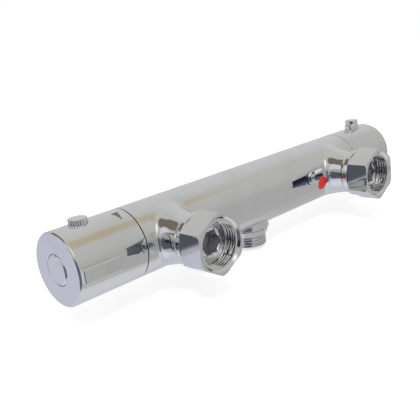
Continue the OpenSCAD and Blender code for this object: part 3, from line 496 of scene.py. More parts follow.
class Effects:
    """Shader node groups that the finishes share, each built once."""

    PATCH_DETAIL = 4
    PATCH_RANGE = (0.42, 0.68)
    SPECK_DETAIL = 2
    SPECK_RANGE = (0.6, 0.75)
    SPECK_FINER = 17
    RELIEF_DETAIL = 3

    @staticmethod
    def _group(
        name: str,
        sockets: dict[str, dict[str, str]],
        fill: Callable[[Wiring, bpy.types.NodeOutputs], Inputs],
    ) -> bpy.types.ShaderNodeTree:
        """Gives a node group, built on its first use.

        Args:
            name: The group's name.
            sockets: The kind of each socket by its name, for INPUT and for OUTPUT.
            fill: Adds the group's nodes, and gives what each output gets.

        Returns:
            The group.
        """
        found = bpy.data.node_groups.get(name)
        if found:
            return found
        group = bpy.data.node_groups.new(name, "ShaderNodeTree")
        for way, kinds in sockets.items():
            for label, kind in kinds.items():
                group.interface.new_socket(name=label, in_out=way, socket_type=f"NodeSocket{kind}")
        taken = group.nodes.new("NodeGroupInput").outputs
        wiring = Wiring(group)
        wiring.join(group.nodes.new("NodeGroupOutput"), fill(wiring, taken))
        return group

    @staticmethod
    def marks() -> bpy.types.ShaderNodeTree:
        """Gives the group that mixes a clean and a handled surface in soft patches and fine specks.

        Returns:
            The group.
        """
        inputs = {"Scale": "Float", "Amount": "Float", "Clean Colour": "Color", "Marked Colour": "Color"}
        inputs |= {"Clean Roughness": "Float", "Marked Roughness": "Float"}
        outputs = {"Colour": "Color", "Roughness": "Float"}
        return Effects._group("handling marks", {"INPUT": inputs, "OUTPUT": outputs}, Effects._fill_marks)

    @staticmethod
    def _fill_marks(wiring: Wiring, taken: bpy.types.NodeOutputs) -> Inputs:
        """Adds the nodes of the marks.

        Args:
            wiring: The group's wiring.
            taken: The group's inputs.

        Returns:
            What the group's outputs get.
        """
        place = wiring.add("TexCoord", {})["Object"]
        finer = wiring.add("Math", {0: taken["Scale"], 1: Effects.SPECK_FINER}, operation="MULTIPLY")[0]
        masks = []
        for scale, detail, (low, high), fade in (
            (taken["Scale"], Effects.PATCH_DETAIL, Effects.PATCH_RANGE, "SMOOTHSTEP"),
            (finer, Effects.SPECK_DETAIL, Effects.SPECK_RANGE, "LINEAR"),
        ):
            noise = wiring.add("TexNoise", {"Vector": place, "Scale": scale, "Detail": detail})["Fac"]
            edges = {"Value": noise, "From Min": low, "From Max": high}
            masks.append(wiring.add("MapRange", edges, interpolation_type=fade)["Result"])
        both = wiring.add("Math", {0: masks[0], 1: masks[1]}, operation="MAXIMUM")[0]
        mask = wiring.add("Math", {0: both, 1: taken["Amount"]}, operation="MULTIPLY")[0]
        colours = {"Factor": mask, "A": taken["Clean Colour"], "B": taken["Marked Colour"]}
        gloss = {"Value": mask, "To Min": taken["Clean Roughness"], "To Max": taken["Marked Roughness"]}
        return {
            "Colour": wiring.add("Mix", colours, data_type="RGBA")["Result"],
            "Roughness": wiring.add("MapRange", gloss)["Result"],
        }

    @staticmethod
    def relief() -> bpy.types.ShaderNodeTree:
        """Gives the group whose height follows a surface's grain."""
        sockets = {"INPUT": {"Scale": "Float", "Stretch": "Vector"}, "OUTPUT": {"Height": "Float"}}
        return Effects._group("fine relief", sockets, Effects._fill_relief)

    @staticmethod
    def _fill_relief(wiring: Wiring, taken: bpy.types.NodeOutputs) -> Inputs:
        """Adds the nodes of the relief.

        Args:
            wiring: The group's wiring.
            taken: The group's inputs.

        Returns:
            What the group's output gets.
        """
        place = wiring.add("TexCoord", {})["Object"]
        grain = wiring.add("VectorMath", {0: place, 1: taken["Stretch"]}, operation="MULTIPLY")["Vector"]
        noise = {"Vector": grain, "Scale": taken["Scale"], "Detail": Effects.RELIEF_DETAIL}
        return {"Height": wiring.add("TexNoise", noise)["Fac"]}


@dataclass(frozen=True)
class Finish:
    """A surface finish: its clean and handled colour and gloss, and its fine relief."""

    name: str
    clean: Colour
    marked: Colour
    metallic: float
    roughness: Pair
    grain: Grain
    grain_scale: float
    grain_depth: float
    marks_scale: float
    marks_amount: float = 1.0
    specular: float = 0.5

    def material(self) -> bpy.types.Material:
        """Gives the finish's material, built on its first use.

        Returns:
            The material.
        """
        found = bpy.data.materials.get(self.name)
        if found:
            return found
        made = bpy.data.materials.new(self.name)
        wiring = Wiring.of(made)
        marking = {"Scale": self.marks_scale, "Amount": self.marks_amount}
        marking |= {"Clean Colour": self.clean, "Marked Colour": self.marked}
        marking |= {"Clean Roughness": self.roughness[0], "Marked Roughness": self.roughness[1]}
        marks = wiring.add("Group", marking, node_tree=Effects.marks())
        grain = {"Scale": self.grain_scale, "Stretch": self.grain.value}
        height = wiring.add("Group", grain, node_tree=Effects.relief())["Height"]
        bump = {"Strength": 1.0, "Distance": self.grain_depth, "Height": height}
        surface = {"Base Color": marks["Colour"], "Roughness": marks["Roughness"]}
        surface |= {"Metallic": self.metallic, "Specular IOR Level": self.specular}
        surface["Normal"] = wiring.add("Bump", bump)["Normal"]
        wiring.join(made.node_tree.nodes["Principled BSDF"], surface)
        return made

    def dress(self, piece: Piece) -> None:
        """Gives a piece this finish alone."""
        piece.data.materials.clear()
        piece.data.materials.append(self.material())


FINISHES: dict[str, Finish] = {
    "chrome": Finish(
        "polished chrome plate", (0.74, 0.745, 0.76, 1), (0.7, 0.7, 0.705, 1), 1.0, (0.035, 0.075),
        Grain.POLISHED, 26.0, 0.02 * MM, 45.0, 0.7,
    ),
    "bare_brass": Finish(
        "nickel washed brass", (0.86, 0.86, 0.87, 1), (0.74, 0.73, 0.71, 1), 1.0, (0.12, 0.22),
        Grain.POLISHED, 500.0, 0.002 * MM, 160.0, 0.8,
    ),
    "brass": Finish(
        "turned brass", (0.72, 0.56, 0.29, 1), (0.55, 0.4, 0.2, 1), 1.0, (0.22, 0.4),
        Grain.TURNED, 300.0, 0.02 * MM, 120.0,
    ),
    "spring_steel": Finish(
        "drawn spring steel", (0.6, 0.6, 0.61, 1), (0.42, 0.42, 0.43, 1), 1.0, (0.2, 0.38),
        Grain.DRAWN, 500.0, 0.01 * MM, 200.0,
    ),
    "filter_mesh": Finish(
        "filter mesh", (0.68, 0.66, 0.76, 1), (0.56, 0.54, 0.6, 1), 1.0, (0.34, 0.5),
        Grain.MOULDED, 900.0, 0.01 * MM, 240.0,
    ),
    "seal_rubber": Finish(
        "seal rubber", (0.022, 0.022, 0.023, 1), (0.05, 0.05, 0.052, 1), 0.0, (0.45, 0.7),
        Grain.MOULDED, 1500.0, 0.02 * MM, 150.0,
    ),
    "white_polymer": Finish(
        "white bearing polymer", (0.78, 0.78, 0.75, 1), (0.68, 0.67, 0.62, 1), 0.0, (0.38, 0.55),
        Grain.MOULDED, 1200.0, 0.015 * MM, 90.0,
    ),
    "grey_polymer": Finish(
        "grey glass-filled polymer", (0.2, 0.205, 0.21, 1), (0.28, 0.285, 0.29, 1), 0.0, (0.42, 0.6),
        Grain.MOULDED, 1400.0, 0.02 * MM, 110.0,
    ),
    "ceramic": Finish(
        "lapped ceramic", (0.86, 0.85, 0.8, 1), (0.78, 0.76, 0.7, 1), 0.0, (0.08, 0.16),
        Grain.MOULDED, 900.0, 0.003 * MM, 70.0,
    ),
    "marker_red": Finish(
        "red marker enamel", (0.84, 0.035, 0.025, 1), (0.7, 0.02, 0.018, 1), 0.0, (0.42, 0.55),
        Grain.MOULDED, 700.0, 0.01 * MM, 260.0, 0.8, 0.3,
    ),
}

# The pointer's engraved faces: rougher chrome whose darker, yellowish colour is painted shade in the
# engraving.
POINTER_SHADE_FINISH = Finish(
    "engraved pointer painted shade", (0.3, 0.28, 0.23, 1), (0.36, 0.34, 0.29, 1), 1.0, (0.42, 0.5),
    Grain.MOULDED, 900.0, 0.01 * MM, 300.0,
)


class Station(NamedTuple):
    """One of two like places on the valve: its name, its side (1 or -1) and the body that moves there."""

    label: str
    side: int
    body: str


class Supply(Station, Enum):
    """The two inlets, with their union nuts."""

    COLD = ("cold", 1, "cold_nut")
    HOT = ("hot", -1, "hot_nut")


class Knob(Station, Enum):
    """The two handles, at the bar's ends."""

    TEMPERATURE = ("temperature", 1, "temperature_knob")
    FLOW = ("flow", -1, "flow_knob")


@dataclass
class Layout:
    """Places and sizes that the pieces share, read from the frame."""

    bar: Vector = field(init=False)
    bar_r: float = field(init=False)
    body_end: float = field(init=False)
    neck_top: float = field(init=False)
    inlet_x: float = field(init=False)
    slots: dict[str, str] = field(init=False)

    def __post_init__(self) -> None:
        """Reads the sizes from the boxes of the nodes."""
        low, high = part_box("flow_handle")
        self.bar = Vector((0, (low.y + high.y) / 2, 0))
        self.bar_r = (high.y - low.y) / 2
        body_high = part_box("valve_body")[1]
        self.body_end, self.neck_top = body_high.x, body_high.y - self.bar.y
        self.inlet_x = self.middle("cold_union_nut")
        self.slots = {part["node"]: part["material_slot"] for part in frame["record"]["subparts"]}

    @staticmethod
    def middle(node: str) -> float:
        """Gives the middle of a node along the bar."""
        low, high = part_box(node)
        return (low.x + high.x) / 2

    def ray(self, x: float, along: Vector, up: Vector) -> Axis:
        """Gives an axis that starts on the bar's axis, at x."""
        return Axis.toward(self.bar + Vector((x, 0, 0)), along, up)

    def axis(self, station: Station) -> Axis:
        """Gives a handle's axis, outwards from the body's end, or an inlet's, from the bar to the wall.

        Args:
            station: The inlet or handle.

        Returns:
            The axis.
        """
        if isinstance(station, Knob):
            return self.ray(station.side * self.body_end, Vector((station.side, 0, 0)), UP)
        return self.ray(station.side * self.inlet_x, Vector((0, 1, 0)), UP)

    @staticmethod
    def reach(node: str, axis: Axis) -> Pair:
        """Gives a node's lowest and highest place on an axis."""
        ends = sorted((corner - axis.origin).dot(axis.along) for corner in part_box(node))
        return ends[0], ends[1]


@dataclass
class Part:
    """A piece that stands for a node. Its subclasses hold its sizes and build its mesh."""

    layout: Layout
    node: ClassVar[str]
    body: ClassVar[str] = "valve"

    def dress(self, piece: Piece) -> None:
        """Smooths and dresses the piece, and has it stand for its node on its body.

        Args:
            piece: The piece.
        """
        slot = self.layout.slots[self.node]
        Mesher.smooth(piece)
        FINISHES[slot].dress(piece)
        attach(piece, self.body)
        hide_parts(self.node)
        LOG.info("%s: %d faces, %s", piece.name, len(piece.data.polygons), FINISHES[slot].name)


@dataclass
class TwinPart(Part):
    """A piece that the valve has twice, one for each inlet or handle."""

    station: Station
    kind: ClassVar[str]

    @property
    def node(self) -> str:
        """The name of its node."""
        return f"{self.station.label}_{self.kind}"

    @property
    def axis(self) -> Axis:
        """The axis of its inlet or handle."""
        return self.layout.axis(self.station)


@dataclass
class TurningPart(TwinPart):
    """A piece that turns with its station's body."""

    @property
    def body(self) -> str:
        """The body that it turns with."""
        return self.station.body


@dataclass
class CastBody(Part):
    """The casting: the bar with its bores, two swept necks and the outlet's boss."""

    node = "valve_body"
    thermo_bore: Pair = (13.8 * MM, 57 * MM)
    flow_bore: Pair = (12.5 * MM, 33 * MM)
    mouth_l: float = 10 * MM
    mouth_step: float = 1.4 * MM
    mixed_r: float = 8.5 * MM
    edge: float = 0.25 * MM
    neck_r: float = 13.9 * MM
    collar_r: float = 15.2 * MM
    collar_l: float = 3.2 * MM
    taper_l: float = 2.4 * MM
    sweep: Pair = (2.8 * MM, 4.4 * MM)
    waist_pull: Pair = (8.4 * MM, 8.0 * MM)
    foot_pull: Pair = (2.2 * MM, 2.0 * MM)
    neck_bore: Pair = (10.5 * MM, 19.5 * MM)
    waterway: Pair = (4.5 * MM, 15.4 * MM)
    boss_r: float = 13.2 * MM
    boss_root: float = 2 / 3
    quarter: int = 48
    far_side: int = 64
    sweep_rings: int = 26
    skirt_rings: int = 5
    middle_steps: int = 16

    def build(self) -> Piece:
        """Builds the casting from its sheets: two necks, the bar between and behind them, and the inside.

        Returns:
            The piece.
        """
        bar_r, inlet_x = self.layout.bar_r, self.layout.inlet_x
        spread = np.tan(self._columns()[: self.quarter + 1])
        near = math.pi / 2 * spread
        far = np.linspace(math.pi / 2, 3 * math.pi / 2, self.far_side + 1)
        gap = inlet_x - self.half_patch
        middle = np.linspace(-gap, gap, self.middle_steps + 1)
        patch = self.half_patch * spread
        along = np.concatenate([patch - inlet_x, middle[1:-1], patch + inlet_x])
        sheets = [
            self._neck(1),
            self._neck(-1),
            self._on_bar(middle[:, None], near, bar_r),
            self._on_bar(along[:, None], far, bar_r),
            self._inside(np.concatenate([near, far[1:]])),
        ]
        points, faces = np.empty((0, 3)), []
        for sheet in sheets:
            faces += Mesher.grid(*sheet.shape[:2], first=len(points))
            points = np.concatenate([points, sheet.reshape(-1, 3)])
        piece = Mesher.solid("cast_body", points, faces)
        Mesher.combine(piece, [self._boss()], "UNION")
        Mesher.combine(piece, [HotMarker(self.layout).pocket()], "DIFFERENCE")
        return piece

    @property
    def half_patch(self) -> float:
        """Half the length of bar that a neck's patch covers."""
        return self.layout.body_end - self.edge - self.layout.inlet_x

    def _on_bar(self, x: np.ndarray, angle: np.ndarray, radius: float) -> np.ndarray:
        """Gives points about the bar.

        Args:
            x: The places along the bar.
            angle: The angles from the wall side upwards, in radians.
            radius: The distance from the bar's axis.

        Returns:
            The points in the row frame.
        """
        x, angle = np.broadcast_arrays(x, angle)
        across = self.layout.bar.y + radius * np.cos(angle)
        return np.stack([x, across, radius * np.sin(angle)], axis=-1)

    def _columns(self) -> np.ndarray:
        """Gives the angles of a neck's columns, from the bar's direction, closed by a repeat."""
        count = 4 * self.quarter
        return (np.arange(count + 1) - self.quarter / 2) * FULL_TURN / count

    def _neck(self, side: int) -> np.ndarray:
        """Gives a neck's rings, from its waterway out to the square border of its patch of the bar.

        Args:
            side: 1 for the cold neck and -1 for the hot one.

        Returns:
            The rings' points.
        """
        turn = self._columns()
        bar_r, top = self.layout.bar_r, self.layout.neck_top
        sweep_top = top - self.collar_l - self.taper_l
        across, above = np.cos(turn), np.sin(turn)
        bore_r, floor = self.neck_bore
        profile = [
            self.waterway, (self.waterway[0], floor), (bore_r, floor), (bore_r, top - self.edge),
            (bore_r + self.edge, top), (self.collar_r, top), (self.collar_r, top - self.collar_l),
            (self.neck_r, sweep_top), (self.neck_r, sweep_top - self.edge),
        ]
        path = [(0.0, self.waterway[1])] + Path.rounded(profile, 2 * self.edge)
        rings = [np.stack([r * across, y + 0 * across, r * above], axis=-1) for r, y in path[:-1]]
        start = np.stack([self.neck_r * across, sweep_top + 0 * across, self.neck_r * above], axis=-1)
        foot_x, foot_z = (self.neck_r + reach for reach in self.sweep)
        foot_y = np.sqrt(bar_r**2 - (foot_z * above) ** 2)
        foot = np.stack([foot_x * across, foot_y, foot_z * above], axis=-1)
        lean = np.stack([foot_x * across, -((foot_z * above) ** 2) / foot_y, foot_z * above], axis=-1)
        lean /= np.linalg.norm(lean, axis=-1, keepdims=True)
        share = (above**2)[:, None]
        waist, pull = (a * (1 - share) + b * share for a, b in (self.waist_pull, self.foot_pull))
        first, second = start - waist * np.array([0.0, 1.0, 0.0]), foot - pull * lean
        for t in np.arange(1, self.sweep_rings + 1) / self.sweep_rings:
            near_start = start * (1 - t) ** 3 + 3 * first * t * (1 - t) ** 2
            rings.append(near_start + 3 * second * t**2 * (1 - t) + foot * t**3)
        rings = [ring + np.array([0.0, self.layout.bar.y, 0.0]) for ring in rings]
        square = np.maximum(np.abs(across), np.abs(above))
        edge_x, edge_angle = self.half_patch * across / square, math.pi / 2 * above / square
        foot_angle = np.arcsin(foot_z * above / bar_r)
        for t in np.arange(1, self.skirt_rings + 1) / self.skirt_rings:
            x = foot_x * across * (1 - t) + edge_x * t
            rings.append(self._on_bar(x, foot_angle * (1 - t) + edge_angle * t, bar_r))
        made = np.array(rings)
        made[..., 0] = side * (made[..., 0] + self.layout.inlet_x)
        return made

    def _inside(self, around: np.ndarray) -> np.ndarray:
        """Gives the end faces and the bores, from one end's edge through to the other's.

        Args:
            around: The angles of the rows about the bar.

        Returns:
            The rings' points.
        """
        flow = [(r, -x) for r, x in reversed(self._mouth(*self.flow_bore))]
        profile = self._mouth(*self.thermo_bore) + flow
        return np.array([self._on_bar(np.array(x), around, r) for r, x in profile])

    def _mouth(self, bore_r: float, bore_l: float) -> list[Pair]:
        """Gives one end's outline, from the bar's edge in to the floor of its bore.

        Args:
            bore_r: The bore's radius.
            bore_l: The bore's length.

        Returns:
            Pairs of a radius and a distance from the bar's middle.
        """
        end, edge, bar_r = self.layout.body_end, self.edge, self.layout.bar_r
        cut = edge * (1 - math.sqrt(0.5))
        mouth_r, mouth_to = bore_r + self.mouth_step, end - self.mouth_l
        return [
            (bar_r, end - edge), (bar_r - cut, end - cut), (bar_r - edge, end), (mouth_r + edge, end),
            (mouth_r, end - edge), (mouth_r, mouth_to), (bore_r, mouth_to), (bore_r, end - bore_l),
            (self.mixed_r, end - bore_l),
        ]

    def _boss(self) -> Piece:
        """Makes the flat boss that the outlet is screwed into."""
        span = (self.layout.bar_r * self.boss_root, -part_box(self.node)[0].z)
        return Mesher.rod(
            "boss", self.boss_r, span, OutletNipple(self.layout).axis, segments=160, rounding=2 * self.edge
        )


@dataclass
class HotMarker(Part):
    """The red disc beside the hot neck, slightly domed."""

    node = "hot_marker"
    radius: float = 4.4 * MM
    thickness: float = 1.1 * MM
    proud: float = 0.3 * MM
    dome: float = 0.22 * MM
    turn: float = math.radians(-11)
    gap: float = 0.15 * MM

    @property
    def axis(self) -> Axis:
        """The disc's axis, from the bar's axis outwards."""
        along = Vector((0, math.cos(self.turn), math.sin(self.turn)))
        return self.layout.ray(self.layout.middle(self.node), along, Vector((1, 0, 0)))

    @property
    def floor(self) -> float:
        """The distance from the bar's axis to the disc's underside."""
        return self.layout.bar_r + self.proud - self.thickness

    def pocket(self) -> Piece:
        """Makes the cutter for the seat that it sits in."""
        span = (self.floor, self.layout.neck_top)
        return Mesher.rod("pocket", self.radius + self.gap, span, self.axis)

    def build(self) -> Piece:
        """Builds the disc.

        Returns:
            The piece.
        """
        arch = Path.domed(self.radius, self.layout.bar_r + self.proud, self.dome)
        profile = [(0.0, self.floor), (self.radius, self.floor)] + arch
        return Mesher.lathe("red_marker", profile, self.axis, segments=72)


@dataclass
class UnionNut(TurningPart):
    """A loose hexagonal nut with an internal pipe thread."""

    kind = "union_nut"
    flats_turn: float = math.radians(31.0)
    across_flats: float = 30 * MM
    lip_t: float = 2.8 * MM
    lip_r: float = 10.9 * MM
    crest_r: float = 12.06 * MM
    root_r: float = 13.22 * MM
    relief_l: float = 2.6 * MM
    mouth_l: float = 1.2 * MM
    mouth_r: float = 14.5 * MM
    edge_r: float = 16.3 * MM
    edge_lean: float = 0.6
    rounding: float = 0.5 * MM

    def build(self) -> Piece:
        """Builds the nut.

        Returns:
            The piece.
        """
        start, end = self.layout.reach(self.node, self.axis)
        rise = (self.across_flats / math.sqrt(3) - self.edge_r) * self.edge_lean
        corner_r = self.across_flats / math.sqrt(3) + rise
        trim = [
            (0.0, start), (self.edge_r, start), (corner_r, start + 2 * rise),
            (corner_r, end - 2 * rise), (self.edge_r, end), (0.0, end),
        ]
        turn = math.pi - self.flats_turn
        nut = Mesher.hexagonal(
            f"{self.station.label}_nut", self.across_flats, turn, self.axis, trim, self.rounding
        )
        Mesher.combine(nut, [self._core(start, end)], "DIFFERENCE")
        return nut

    def _core(self, start: float, end: float) -> Piece:
        """Makes the cutter for the nut's bore and thread.

        Args:
            start: Where the nut starts.
            end: Where the nut ends.

        Returns:
            The cutter.
        """
        lip_to, thread_to, over = start + self.lip_t, end - self.mouth_l, end + self.mouth_l
        thread_from = lip_to + self.relief_l
        profile = [(0.0, start - MM), (self.lip_r, start - MM), (self.lip_r, lip_to)]
        profile += [(self.root_r, lip_to), (self.root_r, thread_from - self.rounding)]
        profile += [(self.crest_r, at) for at in Thread.rows(thread_from, thread_to)]
        profile += [(self.root_r, thread_to), (self.mouth_r, end)]
        profile += [(self.mouth_r + self.mouth_l, over), (0.0, over)]
        ridges = Thread.ridges(thread_from, thread_to, self.crest_r, self.root_r)
        return Mesher.lathe("core", profile, self.axis, segments=144, wobble=ridges)


@dataclass
class InletInsert(TwinPart):
    """The screwed tail that traps a nut: a flange, a nose and a hexagonal key socket."""

    kind = "inlet_insert"
    thread_r: float = 10.4 * MM
    flange_r: float = 11.7 * MM
    flange_t: float = 2.0 * MM
    nose_r: float = 7.9 * MM
    nose_l: float = 1.4 * MM
    socket_af: float = 12 * MM
    socket_l: float = 7.5 * MM
    bore_r: float = 7.65 * MM
    rounding: float = 0.35 * MM

    def build(self) -> Piece:
        """Builds the insert.

        Returns:
            The piece.
        """
        axis, edge = self.axis, self.rounding
        tail, nose = self.layout.reach(self.node, axis)
        flange_to, floor = nose - self.nose_l, nose - self.socket_l
        flange_from = flange_to - self.flange_t
        profile = [
            (self.thread_r, tail), (self.thread_r, flange_from), (self.flange_r, flange_from),
            (self.flange_r, flange_to), (self.nose_r, flange_to), (self.nose_r, nose),
        ]
        path = [(0.0, tail)] + Path.rounded(profile, edge) + [(0.0, nose)]
        insert = Mesher.lathe(f"{self.station.label}_insert", path, axis)
        lead_r, low, high = self.socket_af / math.sqrt(3), nose - edge, nose + edge
        lead = [(0.0, low), (lead_r - 2 * edge, low), (lead_r, high), (0.0, high)]
        cutters = [
            Mesher.rod("bore", self.bore_r, (tail - MM, floor), axis),
            Mesher.prism("socket", Path.hexagon(self.socket_af, 0.0), floor - MM, nose + MM, axis),
            Mesher.lathe("lead", lead, axis, segments=96),
        ]
        Mesher.combine(insert, cutters, "DIFFERENCE")
        return insert


@dataclass
class Gauze(TwinPart):
    """The woven filter behind an inlet's insert: a rim with crossing wires."""

    kind = "filter"
    rim_w: float = 0.8 * MM
    pitch: float = 0.75 * MM
    wire_r: float = 0.2 * MM
    wire_sides: int = 5
    steps_to_pitch: int = 3

    def build(self) -> Piece:
        """Builds the filter.

        Returns:
            The piece.
        """
        start, end = self.layout.reach(self.node, self.axis)
        low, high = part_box(self.node)
        outer = (high.z - low.z) / 2
        inner = outer - self.rim_w
        profile = [(inner, start), (outer, start), (outer, end), (inner, end)]
        path = Path.rounded(profile, self.wire_r, closed=True)
        rim = Mesher.lathe(f"{self.station.label}_gauze", path, self.axis, segments=96)
        points, faces = [], []
        count, sides = int(inner / self.pitch), self.wire_sides
        for number in range(-count, count + 1):
            reach = math.sqrt((outer - self.rim_w / 2) ** 2 - (number * self.pitch) ** 2)
            for weft in (False, True):
                wire = self._wire(number, reach, (start + end) / 2, weft)
                first, last = len(points), len(points) + len(wire) - sides
                faces += Mesher.grid(len(wire) // sides, sides, first, ring=True)
                faces += [tuple(range(row, row + sides)) for row in (first, last)]
                points += wire
        Mesher.gather(rim, Mesher.solid("wires", self.axis.place(np.array(points)), faces))
        return rim

    def _wire(self, number: int, reach: float, level: float, weft: bool) -> list[Triple]:
        """Gives the points of one wavy wire.

        Args:
            number: The wire's place in its row, from the middle.
            reach: Half its length.
            level: The gauze's place along the axis.
            weft: Whether it runs upwards, and not sideways.

        Returns:
            The points, ring by ring.
        """
        made: list[Triple] = []
        steps = max(2, round(2 * reach / self.pitch * self.steps_to_pitch))
        for i in range(steps + 1):
            at = reach * (2 * i / steps - 1)
            wave = self.wire_r * math.cos(math.pi * (at / self.pitch + number)) * (-1 if weft else 1)
            for j in range(self.wire_sides):
                turn = j * FULL_TURN / self.wire_sides
                across = number * self.pitch + self.wire_r * math.cos(turn)
                along = level + wave + self.wire_r * math.sin(turn)
                made.append((across, at, along) if weft else (at, across, along))
        return made

    def dress(self, piece: Piece) -> None:
        """Dresses the filter in wire mesh, whatever its node's slot."""
        super().dress(piece)
        FINISHES["filter_mesh"].dress(piece)


@dataclass
class OutletNipple(Part):
    """The outlet under the bar: a hexagonal collar over a male pipe thread."""

    node = "outlet_nipple"
    across_flats: float = 22 * MM
    collar_t: float = 3.4 * MM
    stub_r: float = 10.18 * MM
    crest_r: float = 10.48 * MM
    thread_depth: float = 1.1 * MM
    bore_r: float = 7.2 * MM
    lead: float = 0.6 * MM
    edge_r: float = 12.1 * MM
    edge_lean: float = 0.6
    rounding: float = 0.4 * MM

    @property
    def axis(self) -> Axis:
        """The outlet's axis, down from the bar's axis."""
        return self.layout.ray(0.0, -UP, Vector((0, 1, 0)))

    def build(self) -> Piece:
        """Builds the nipple.

        Returns:
            The piece.
        """
        axis, edge = self.axis, self.rounding
        top, tip = self.layout.reach(self.node, axis)
        seal_to = self.layout.reach("outlet_seal", axis)[1]
        collar_to = seal_to + self.collar_t
        corner_r = self.across_flats / math.sqrt(3)
        trim = [
            (0.0, seal_to), (corner_r, seal_to),
            (corner_r, collar_to - (corner_r - self.edge_r) * self.edge_lean),
            (self.edge_r, collar_to), (0.0, collar_to),
        ]
        collar = Mesher.hexagonal("outlet", self.across_flats, math.pi / 2, axis, trim, edge)
        thread = collar_to + edge, tip - self.lead
        profile = [(0.0, top), (self.stub_r, top), (self.stub_r, collar_to - edge)]
        profile += [(self.crest_r, at) for at in Thread.rows(*thread)]
        profile += [(self.crest_r - self.lead, tip), (0.0, tip)]
        ridges = Thread.ridges(*thread, self.crest_r, self.crest_r - self.thread_depth)
        tail = Mesher.lathe("tail", profile, axis, segments=144, wobble=ridges)
        Mesher.combine(collar, [tail], "UNION")
        bore = [
            (0.0, top - MM), (self.bore_r, top - MM), (self.bore_r, tip - edge),
            (self.bore_r + 2 * edge, tip + edge), (0.0, tip + edge),
        ]
        Mesher.combine(collar, [Mesher.lathe("bore", bore, axis, segments=96)], "DIFFERENCE")
        return collar


@dataclass
class Handle(TurningPart):
    """A handle's chromed shell with its button's pocket; one has a grip lug and a pointer."""

    kind = "handle"
    wall: float = 2.6 * MM
    end_t: float = 11 * MM
    edge_bevel: float = 0.9 * MM
    recess_r: float = 8.55 * MM
    recess_l: float = 3.2 * MM
    socket_r: float = 7 * MM
    socket_l: float = 6 * MM
    screw_hole_r: float = 2.2 * MM
    pocket_r: float = 5.25 * MM
    boss_r: float = 6.8 * MM
    boss_root: float = 1.5 * MM
    stem_hole_r: float = 2.7 * MM
    floor_drop: float = 1.5 * MM
    floor_t: float = 1.3 * MM
    lug: Triple = (8 * MM, 23 * MM, 3.2 * MM)
    lug_rounding: float = 0.9 * MM
    pointer: Triple = (6.6 * MM, 7.2 * MM, 4.2 * MM)
    pointer_turn: float = math.radians(21)
    pointer_depth: float = 0.3 * MM
    rounding: float = 0.35 * MM
    segments: int = 192

    def build(self) -> Piece:
        """Builds the handle.

        Returns:
            The piece.
        """
        axis, radius, bevel = self.axis, self.layout.bar_r, self.edge_bevel
        start, end = self.layout.reach(self.node, axis)
        cavity_r, cavity_to, recess = radius - self.wall, end - self.end_t, end - self.recess_l
        socket = cavity_to + self.socket_l
        profile = [
            (cavity_r, start), (radius, start), (radius, end - bevel), (radius - bevel, end),
            (self.recess_r, end), (self.recess_r, recess), (self.screw_hole_r, recess),
            (self.screw_hole_r, socket), (self.socket_r, socket), (self.socket_r, cavity_to),
            (cavity_r, cavity_to),
        ]
        path = Path.rounded(profile, self.rounding, closed=True)
        shell = Mesher.lathe(f"{self.station.label}_shell", path, axis, self.segments)
        if self.station is Knob.TEMPERATURE:
            Mesher.combine(shell, [self._lug(end - bevel)], "UNION")
            Mesher.combine(shell, [self._pointer()], "DIFFERENCE")
            pawl = "override_pawl"
        else:
            pawl = "flow_pawl"
        button = self.layout.ray(self.layout.middle(pawl), UP, axis.along)
        floor = cavity_r - self.floor_drop
        under, roof = floor - self.floor_t, math.sqrt(cavity_r**2 - self.boss_r**2) + self.boss_root
        boss = Mesher.rod("boss", self.boss_r, (under, roof), button, segments=72)
        Mesher.combine(shell, [boss], "UNION")
        cutters = [
            Mesher.rod("pocket", self.pocket_r, (floor, radius + self.lug[2]), button),
            Mesher.rod("stem", self.stem_hole_r, (under - MM, floor + MM), button, segments=48),
        ]
        Mesher.combine(shell, cutters, "DIFFERENCE")
        return shell

    def _lug(self, end: float) -> Piece:
        """Makes the grip lug on the wall side.

        Args:
            end: Where the lug ends along the handle's axis.

        Returns:
            The lug, with rounded edges.
        """
        width, length, proud = self.lug
        inner, outer = self.layout.bar_r - self.wall / 2, self.layout.bar_r + proud
        outline = [(inner, -width / 2), (outer, -width / 2), (outer, width / 2), (inner, width / 2)]
        lug = Mesher.prism("lug", outline, end - length, end, self.axis)
        Mesher.bevel(lug, self.lug_rounding, segments=5)
        return lug

    @property
    def mark_axis(self) -> Axis:
        """The pointer's frame, whose axis runs outwards through its middle."""
        outward = Vector((0, math.sin(self.pointer_turn), math.cos(self.pointer_turn)))
        return Axis.toward(self.axis.origin, outward, self.axis.along)

    def _pointer(self) -> Piece:
        """Makes the cutter for the engraved pointer, whose floor follows the handle's round.

        Returns:
            The cutter.
        """
        place, length, width = self.pointer
        outline = [(length / 2, place - width / 2), (length / 2, place + width / 2), (-length / 2, place)]
        bar_r = self.layout.bar_r
        cutter = Mesher.prism("pointer", outline, bar_r / 2, bar_r + MM, self.mark_axis)
        core = Mesher.rod("core", bar_r - self.pointer_depth, (0.0, 2 * place), self.axis, self.segments)
        Mesher.combine(cutter, [core], "DIFFERENCE")
        return cutter

    def dress(self, piece: Piece) -> None:
        """Dresses the handle, and gives the pointer's engraved faces a rougher finish whose darker colour
        is painted shade in the engraving.

        Args:
            piece: The piece.
        """
        super().dress(piece)
        if self.station is not Knob.TEMPERATURE:
            return
        # Second slot: the pointer's darker colour, painted shade in the engraving.
        piece.data.materials.append(POINTER_SHADE_FINISH.material())
        mark, (place, length, width) = self.mark_axis, self.pointer
        for face in piece.data.polygons:
            spot = face.center - mark.origin
            side, up, out = (spot.dot(way) for way in (mark.side, mark.up, mark.along))
            depth = self.layout.bar_r - math.hypot(side, out)
            inside = abs(side) < length / 2 and abs(up - place) < width / 2 and out > 0
            if inside and self.pointer_depth / 4 < depth < self.wall / 2:
                face.material_index = 1


